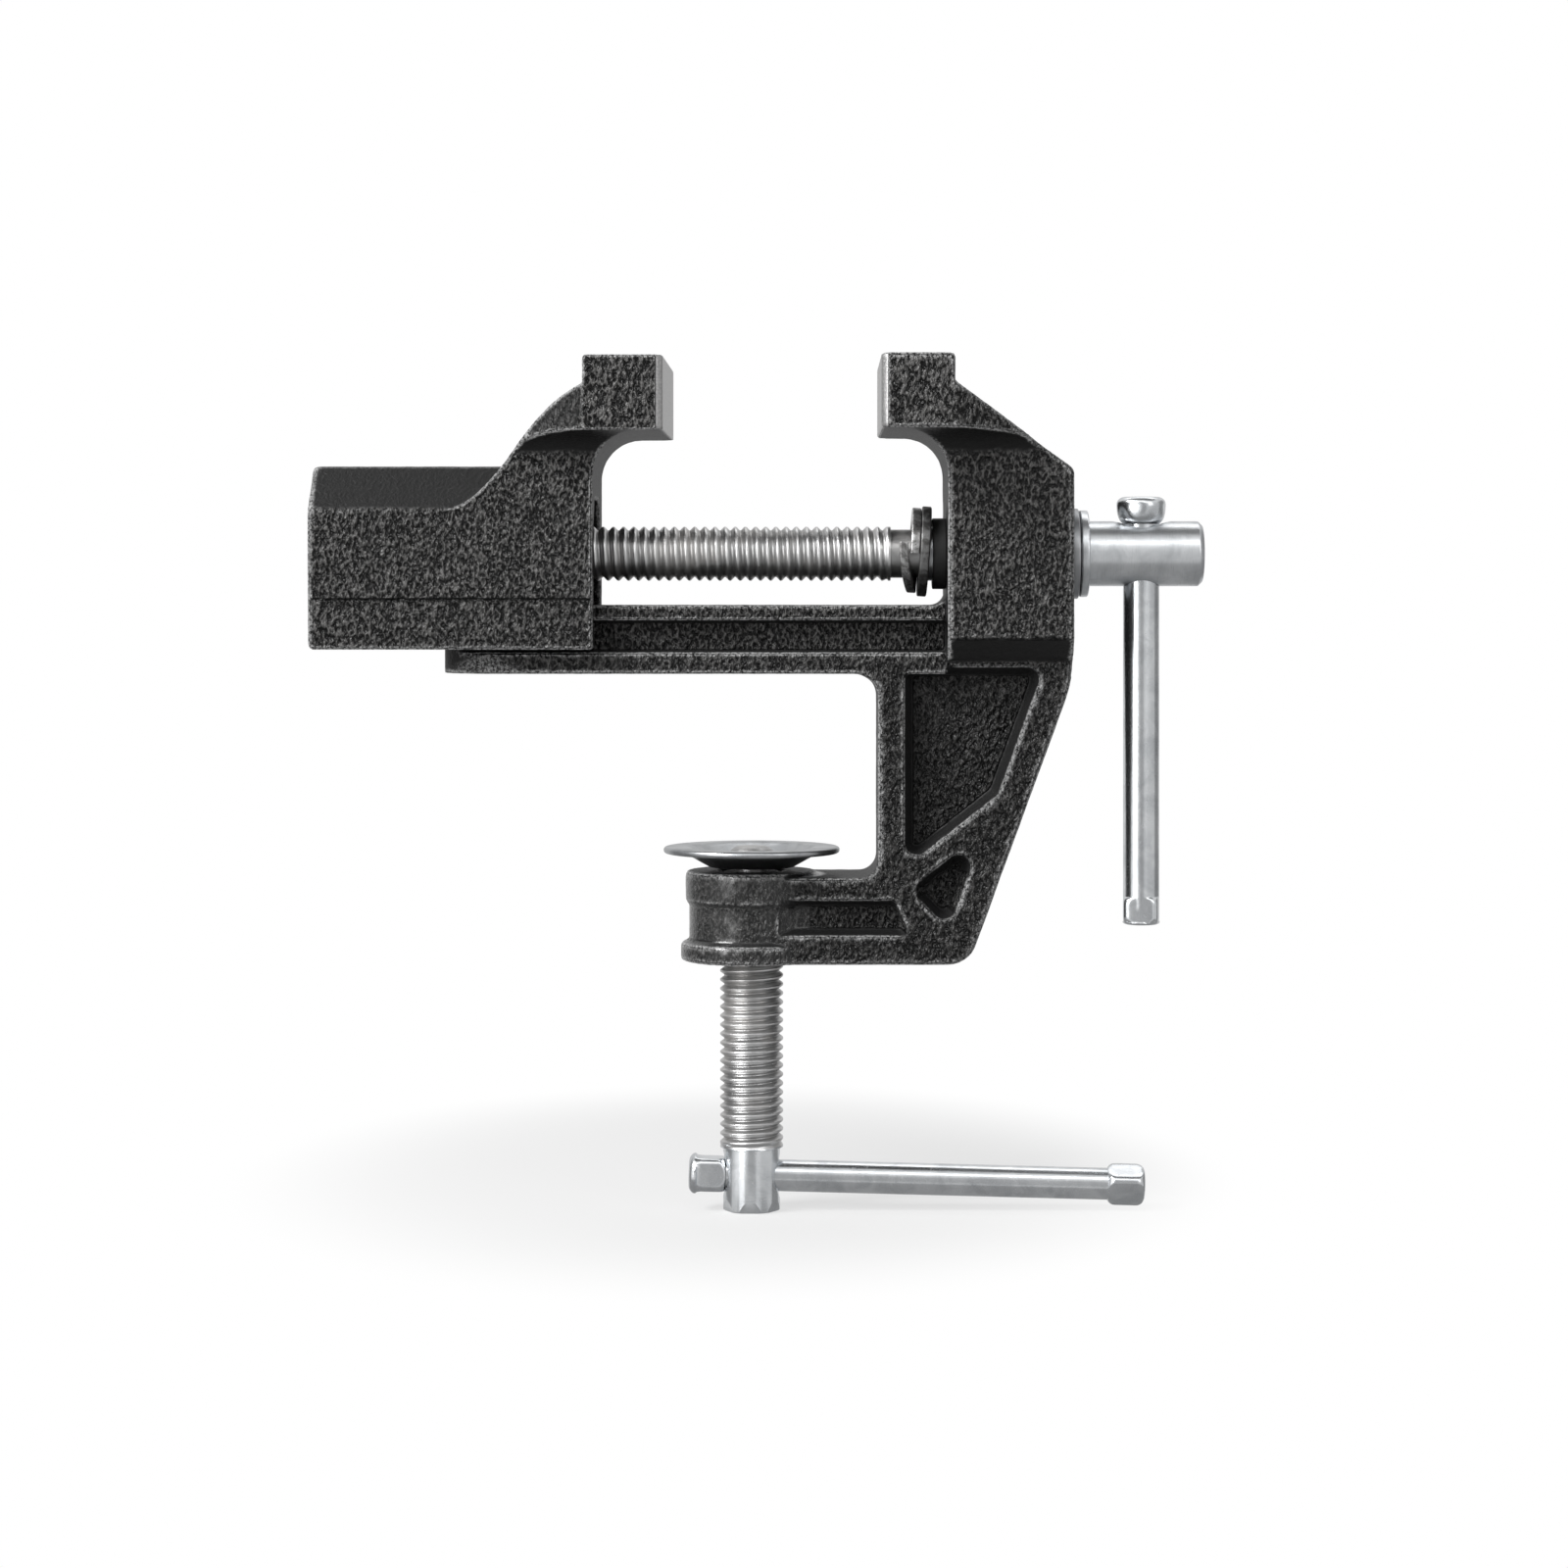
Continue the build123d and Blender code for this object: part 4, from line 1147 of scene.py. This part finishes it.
# ---- clamp screw and pad -----------------------------------------------------------------
@dataclass
class ClampScrew:
    """The screw under the table: thread, drilled head with a ground foot, riveted tip."""

    foot: float = -119.0
    head_top: float = -104.7
    head_radius: float = 6.3
    radius: float = 7.0
    root: float = 6.05
    pitch: float = 2.0
    shoulder: float = -45.0
    neck_radius: float = 3.7
    rivet: float = -39.9
    rivet_radius: float = 5.5
    rivet_height: float = 1.5
    hole_z: float = -111.3
    hole_radius: float = 3.8
    hole_tilt: float = 1.5          # degrees that the handle leans down to the right
    mouth_radius: float = 5.1
    mouth_depth: float = 1.6
    dome: float = 0.62              # the rivet's flat top, as a share of its width
    crease: float = 14.0
    facet_count: int = 6
    facet_radius: float = 5.75
    facet_draft: float = 11.5
    facet_turn: float = -92.0       # direction of the first flat

    def head(self) -> Shell:
        """Plain round head with a small chamfer above, before its foot is ground."""
        return lathe(UPRIGHT, rounded([
            (self.foot, 0, 0), (self.foot, self.head_radius, 0.3),
            (self.head_top - 0.5, self.head_radius, 0.2),
            (self.head_top, self.head_radius - 0.5, 0.2), (self.head_top, 0, 0)]), 96)

    def across(self, start: float = 0.0) -> Axis:
        """Line of the cross hole, with its origin at a distance from the screw's axis."""
        lean = radians(self.hole_tilt)
        return Axis((start * cos(lean), 0.0, self.hole_z - start * sin(lean)),
                    (cos(lean), 0.0, -sin(lean)), (sin(lean), 0.0, cos(lean)))

    def grind(self, piece: bpy.types.Object) -> None:
        """Cuts the flats round the foot, each a plane that leans out by the draft."""
        solid = bmesh.new()
        solid.from_mesh(piece.data)
        lean = radians(self.facet_draft)
        turns = np.arange(self.facet_count) * 2 * pi / self.facet_count
        for turn in turns + radians(self.facet_turn):
            out = Vector((cos(turn), sin(turn), 0.0))
            spot = (out * self.facet_radius + Vector((0.0, 0.0, self.foot))) * MM
            plane = out * cos(lean) - Vector((0.0, 0.0, sin(lean)))
            parts = solid.verts[:] + solid.edges[:] + solid.faces[:]
            cut = bmesh.ops.bisect_plane(solid, geom=parts, plane_co=spot, plane_no=plane,
                                         clear_outer=True, dist=SLIVER)
            rim = [e for e in cut["geom_cut"] if isinstance(e, bmesh.types.BMEdge)]
            bmesh.ops.holes_fill(solid, edges=rim, sides=0)
        bmesh.ops.recalc_face_normals(solid, faces=solid.faces)
        solid.to_mesh(piece.data)
        solid.free()

    def build(self) -> bpy.types.Object:
        """Joins head, thread and riveted tip, then drills the cross hole.

        Returns:
            The bare screw.
        """
        thread = threaded(UPRIGHT, self.head_top - 0.3, self.shoulder, self.radius, self.root,
                          self.pitch, (2.2, 0.8))
        start, top = self.shoulder - 0.2, self.rivet + self.rivet_height
        tip = rounded([(start, 0, 0), (start, self.neck_radius, 0),
                       (self.rivet, self.neck_radius, 0), (self.rivet, self.rivet_radius, 0.4),
                       (top, self.rivet_radius * self.dome, 1.6), (top, 0, 0)])
        screw = (self.head() + thread + lathe(UPRIGHT, tip, 48)).mesh_object("clamp_screw_body")
        self.grind(screw)
        mouth = flared(self.hole_radius, self.mouth_radius, self.head_radius,
                       self.mouth_depth, 7)
        end = self.head_radius + 2.7
        half = np.vstack([mouth, [[end, self.mouth_radius + 0.3], [end, 0.0]]])
        profile = np.vstack([half[::-1] * np.array([-1, 1]), half])
        return cut_away(screw, lathe(self.across(), profile, 56), self.crease)

    def dressed(self) -> bpy.types.Object:
        """Thread in steel, head in zinc.

        Returns:
            The finished piece.
        """
        worn = ThreadSteel("clamp_thread_steel", ScrewAxis.Z, (0.0, 0.0, 0.0), self.radius,
                           self.root, bright=0.6, dark=0.42)
        plate = ZincPlate("clamp_head_zinc", tone=0.84, shade=0.66, roughness=0.12,
                          grain=(0.05, 0.05, 2.0))
        piece = dress(self.build(), worn.material(), "clamp_screw", "clamp_screw")
        return plate_head(piece, plate, 2, self.head_top, -1.0)


@dataclass
class ClampPad:
    """Pressed steel cup that bears on the underside of the table."""

    hole: float = 4.2
    bottom: float = -43.0
    floor: float = 9.3
    cone: float = 14.0
    cone_z: float = -40.4
    rim: float = 19.5
    rim_z: float = -40.0
    sheet: float = 1.5
    bend: float = 3.0               # radius of the bend between cone and rim
    roll: float = 0.66              # rounding of the outer rim
    foot_bend: float = 0.9

    def build(self) -> bpy.types.Object:
        """Turns the pressed sheet's section, with a rolled outer rim.

        Returns:
            The bare pad.
        """
        top, inside = self.rim_z + self.sheet, self.bottom + self.sheet
        seam = (self.bottom, (self.hole + self.floor) / 2, 0)
        loop = rounded([
            seam, (self.bottom, self.floor, self.foot_bend), (self.cone_z, self.cone, self.bend),
            (self.rim_z + 0.15, self.rim, self.roll), (top, self.rim, self.roll),
            (top, self.cone, self.bend), (inside, self.floor - self.sheet / 2, self.foot_bend),
            (inside, self.hole, 0.3), (self.bottom, self.hole, 0.3), seam], 7)
        return lathe(UPRIGHT, loop, 128).mesh_object("clamp_pad_cup")

    def dressed(self) -> bpy.types.Object:
        """Builds the pad in dull zinc."""
        plate = ZincPlate("pad_zinc", tone=0.5, shade=0.34, roughness=0.24,
                          grain=(0.6, 0.6, 0.6))
        return dress(self.build(), plate.material(), "clamp_pad", "clamp_pad")


# ---- studio ------------------------------------------------------------------------------
class Card(Enum):
    """What a studio panel does."""

    LAMP = "lights the vise, unseen"
    CARD = "shows only in what mirrors it"


def rectangle(name: str, low: Span, high: Span, height: float,
              finish: bpy.types.Material) -> bpy.types.Mesh:
    """Flat rectangle in the XY plane between two corners, with its finish."""
    (west, south), (east, north) = low, high
    mesh = bpy.data.meshes.new(name)
    mesh.from_pydata([(west, south, height), (east, south, height), (east, north, height),
                      (west, north, height)], [], [[0, 1, 2, 3]])
    mesh.materials.append(finish)
    return mesh


@dataclass(frozen=True)
class Panel:
    """A flat panel that faces the vise, placed by the direction it is seen in from there."""

    name: str
    kind: Card
    azimuth: float                  # 0 is towards the camera, 90 to the right
    elevation: float
    distance: float
    size: Span
    level: float                    # how bright it is, 1 being white
    middle: Point = (0.0, 0.0, -0.02)

    def holder(self, data: bpy.types.ID) -> bpy.types.Object:
        """Puts the panel's data in its place, turned to the vise.

        Args:
            data: a lamp or a mesh in its own XY plane, facing along -Z.

        Returns:
            The new object.
        """
        turn, rise = radians(self.azimuth), radians(self.elevation)
        out = Vector((sin(turn) * cos(rise), -cos(turn) * cos(rise), sin(rise)))
        made = placed(self.name, data)
        made.location = Vector(self.middle) + out * self.distance
        made.rotation_euler = (-out).to_track_quat("-Z", "Y").to_euler()
        return made

    def build(self) -> None:
        """Makes a lamp, or a card that only mirrors see."""
        if self.kind is Card.LAMP:
            light = bpy.data.lights.new(self.name, "AREA")
            light.shape = "RECTANGLE"
            light.size, light.size_y = self.size
            light.energy = self.level * pi * self.size[0] * self.size[1]
            self.holder(light)
            return
        mix = Recipe(self.name)
        dim = mix.node("Emission", None, {"Color": grey(self.level), "Strength": 1.0})
        mix.node("OutputMaterial", None, {"Surface": dim})
        w, h = self.size[0] / 2, self.size[1] / 2
        card = self.holder(rectangle(self.name, (-w, -h), (w, h), 0.0, mix.material))
        card.visible_camera = card.visible_diffuse = card.visible_shadow = False


@dataclass
class Studio:
    """White table-top set: floor, soft lamps, cards for the metal to mirror, and the camera."""

    floor_z: float = -0.1191
    floor_low: Span = (-6.0, -3.0)
    floor_high: Span = (6.0, 12.0)
    floor_tone: float = 0.55
    floor_white: float = 0.65       # share of plain white in the floor near the vise
    pool_middle: Span = (-6.0, 50.0)    # the shaded pool on the floor, in millimetres
    pool_squash: float = 0.75       # its width as a share of its depth
    pool_reach: Span = (45.0, 120.0)    # where it starts to fade and where it is gone
    sky_light: float = 0.25         # how strongly the surroundings light the vise
    mirrored_sky: float = 0.6       # share of white that the metal mirrors where no card is
    eye: Point = (0.0150, -0.800, 0.0188)
    focal_pixels: float = 3680.0
    picture: int = 1600
    centre_pixels: Span = (836.0, 600.0)
    sensor: float = 36.0

    def camera(self) -> None:
        """Level camera; the shift puts its axis on the measured centre pixel."""
        lens = bpy.data.cameras.new("camera")
        lens.sensor_width = self.sensor
        lens.lens = self.focal_pixels / self.picture * self.sensor
        half = self.picture / 2
        lens.shift_x = (half - self.centre_pixels[0]) / self.picture
        lens.shift_y = (self.centre_pixels[1] - half) / self.picture
        lens.clip_start, lens.clip_end = 0.01, 20.0
        holder = placed("camera", lens)
        holder.location = self.eye
        holder.rotation_euler = (pi / 2, 0.0, 0.0)
        bpy.context.scene.camera = holder

    def floor(self) -> None:
        """Pale floor: lit near the vise for its shadow, white beyond; mirrors see through it."""
        mix = Recipe("studio_floor")
        spot = mix.place()
        aside = mix.part_of(spot, "X") - self.pool_middle[0]
        behind = (mix.part_of(spot, "Y") - self.pool_middle[1]) * self.pool_squash
        near, gone = self.pool_reach
        far = (aside * aside + behind * behind).ramp(near ** 2, gone ** 2)
        camera = mix.node("LightPath", output="Is Camera Ray")
        matt = mix.node("BsdfDiffuse", None, {"Color": grey(self.floor_tone)})
        glow = mix.node("Emission", None, {"Color": grey(1.0), "Strength": 1.0})
        white = camera * (self.floor_white + (1.0 - self.floor_white) * far)
        seen = mix.node("MixShader", None, {0: white, 1: matt, 2: glow})
        mirrored = mix.node("LightPath", output="Is Glossy Ray")
        both = mix.node("MixShader", None,
                        {0: mirrored, 1: seen, 2: mix.node("BsdfTransparent")})
        mix.node("OutputMaterial", None, {"Surface": both})
        placed("floor", rectangle("floor", self.floor_low, self.floor_high,
                                           self.floor_z, mix.material))

    def world(self) -> None:
        """Plain surroundings: white where seen or mirrored, softer as a light."""
        sky = bpy.data.worlds.new("studio_world")
        bpy.context.scene.world = sky
        mix = Recipe(sky.name, sky)
        mirrored = mix.node("LightPath", output="Is Glossy Ray") * self.mirrored_sky
        either = mix.node("LightPath", output="Is Camera Ray").at_least(mirrored)
        shade_of_sky = mix.node("Background", None, {
            "Color": grey(1.0), "Strength": self.sky_light + (1.0 - self.sky_light) * either})
        mix.node("OutputWorld", None, {"Surface": shade_of_sky})

    def panels(self) -> list[Panel]:
        """Lamps all round, and cards to mirror: bright on the left, dim elsewhere."""
        return [
            Panel("lamp_rake", Card.LAMP, -60, 40, 1.0, (0.36, 0.36), 25.0),
            Panel("lamp_key", Card.LAMP, -38, 16, 1.0, (0.42, 0.75), 4.5),
            Panel("lamp_fill", Card.LAMP, 42, 24, 1.1, (0.36, 0.7), 1.5),
            Panel("lamp_strip", Card.LAMP, 0, 43, 1.0, (0.9, 0.17), 2.4),
            Panel("lamp_back", Card.LAMP, 170, 62, 1.0, (1.0, 0.35), 1.2),
            Panel("card_front", Card.CARD, 0, 0, 1.3, (0.7, 1.0), 0.38),
            Panel("card_key", Card.CARD, -50, 0, 1.3, (0.95, 1.5), 0.95),
            Panel("card_left", Card.CARD, -105, 5, 1.3, (1.0, 1.7), 0.26),
            Panel("card_right", Card.CARD, 60, 0, 1.3, (1.2, 1.6), 0.58),
            Panel("card_far_right", Card.CARD, 112, 0, 1.3, (1.1, 1.6), 0.26),
            Panel("card_top", Card.CARD, 0, 88, 1.2, (1.9, 0.75), 0.1),
            Panel("card_low", Card.CARD, 0, -88, 0.5, (2.2, 1.7), 0.31),
        ]

    def build(self) -> None:
        """Sets up the whole studio."""
        self.camera()
        self.floor()
        self.world()
        for panel in self.panels():
            panel.build()
        bpy.context.scene.view_settings.view_transform = "Standard"


# ---- the whole vise ----------------------------------------------------------------------
WASHER_LEAN = 3.7                   # degrees that the loose washers lean back


def rings(screw: ViseScrew) -> list[FlatRing]:
    """The plain rings on the vise screw and the clamp neck.

    Args:
        screw: the screw that carries them.

    Returns:
        The rings, not yet built.
    """
    lean = radians(WASHER_LEAN)
    tilted = Axis((38.24, 0.0, screw.z + 0.5), (cos(lean), 0.0, -sin(lean)), (0.0, 1.0, 0.0))
    behind = Axis((71.4, 0.0, screw.z), (1.0, 0.0, 0.0), (0.0, 1.0, 0.0))
    before = Axis((41.5, 0.0, screw.z), (1.0, 0.0, 0.0), (0.0, 1.0, 0.0))
    neck = Axis((0.0, 0.0, -44.4), (0.0, 0.0, 1.0), (1.0, 0.0, 0.0))
    zinc = ZincPlate("thrust_washer_zinc", tone=0.45, shade=0.3, roughness=0.3)
    return [
        FlatRing("flat_washer_ring", "flat_washer", "vise_screw", "washer_steel", tilted,
                 2.1, 10.0, 6.55, 0.35, DarkSteel("flat_washer_steel")),
        FlatRing("thrust_washer_ring", "thrust_washer", "frame", "washer_steel", behind,
                 2.0, 10.0, 6.3, 0.35, zinc),
        FlatRing("bush_ring", "bush", "frame", "bush_black", before,
                 3.0, 7.85, 6.3, 0.25, BlackRing("bush_black")),
        FlatRing("pad_washer_ring", "pad_washer", "pad_washer", "washer_steel", neck,
                 1.0, 6.0, 3.85, 0.2, DarkSteel("pad_washer_steel", tone=0.3)),
    ]


def handles(screw: ViseScrew, clamp: ClampScrew) -> list[SlidingBar]:
    """The two sliding bars: one hangs in the vise screw's head, one lies in the clamp's.

    Args:
        screw: the vise screw.
        clamp: the clamp screw.

    Returns:
        The bars, not yet built.
    """
    hanging = Axis((screw.hole_x, 0.0, 39.0), (0.0, 0.0, -1.0), (1.0, 0.0, 0.0))
    long_end = 8.4
    start = -(clamp.head_radius - 0.8 + long_end)
    return [
        SlidingBar("vise_handle_bar", "vise_handle", "vise_handle", hanging, 4.0, 94.8, 6.6,
                   Pinch(5.55, 20.0, 0.96, lip=1.0, bowl=1.5), Pinch(4.9, 8.0),
                   grain=(1.0, 1.0, 0.05)),
        SlidingBar("clamp_handle_bar", "clamp_handle", "clamp_handle", clamp.across(start),
                   3.5, 101.0, long_end, Pinch(4.65, 0.0, 0.8, lip=1.3), Pinch(4.65, 25.0),
                   grain=(0.05, 1.0, 1.0)),
    ]


def main() -> None:
    """Builds and dresses every sub-assembly, then the studio."""
    logging.basicConfig(level=logging.INFO, format="%(message)s")
    # the frame's paint has a spot of wear and painted highlight on the flange's rounded end
    fixed_paint = CastingPaint("frame_paint", grip_x=28.3, grip_side=1.0, grip_bottom=53.4,
                               iron=0.4, wear_and_highlight_spot=(-58.0, 1.6, 9.0))
    moving_paint = CastingPaint("jaw_paint", grip_x=-18.5, grip_side=-1.0, grip_bottom=52.9,
                                parting_z=16.25)
    Casting("frame_body", "frame_casting", "frame", fixed_paint, voxel=0.7).dressed()
    Casting("jaw_body", "moving_jaw", "moving_jaw", moving_paint, voxel=0.6).dressed()
    screw, clamp, lean = ViseScrew(), ClampScrew(), radians(WASHER_LEAN)
    split = SplitRing(Axis((36.04, 0.0, screw.z + 0.75), (-cos(lean), 0.0, sin(lean)),
                           (0.0, -1.0, 0.0)))
    for piece in (screw, *rings(screw), split, *handles(screw, clamp), clamp, ClampPad()):
        piece.dressed()
    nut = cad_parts["drive_nut"]
    nut.data.materials.clear()
    nut.data.materials.append(DarkSteel("nut_steel", tone=0.3, dark=0.14).material())
    Studio().build()


if __name__ == "__main__":
    main()
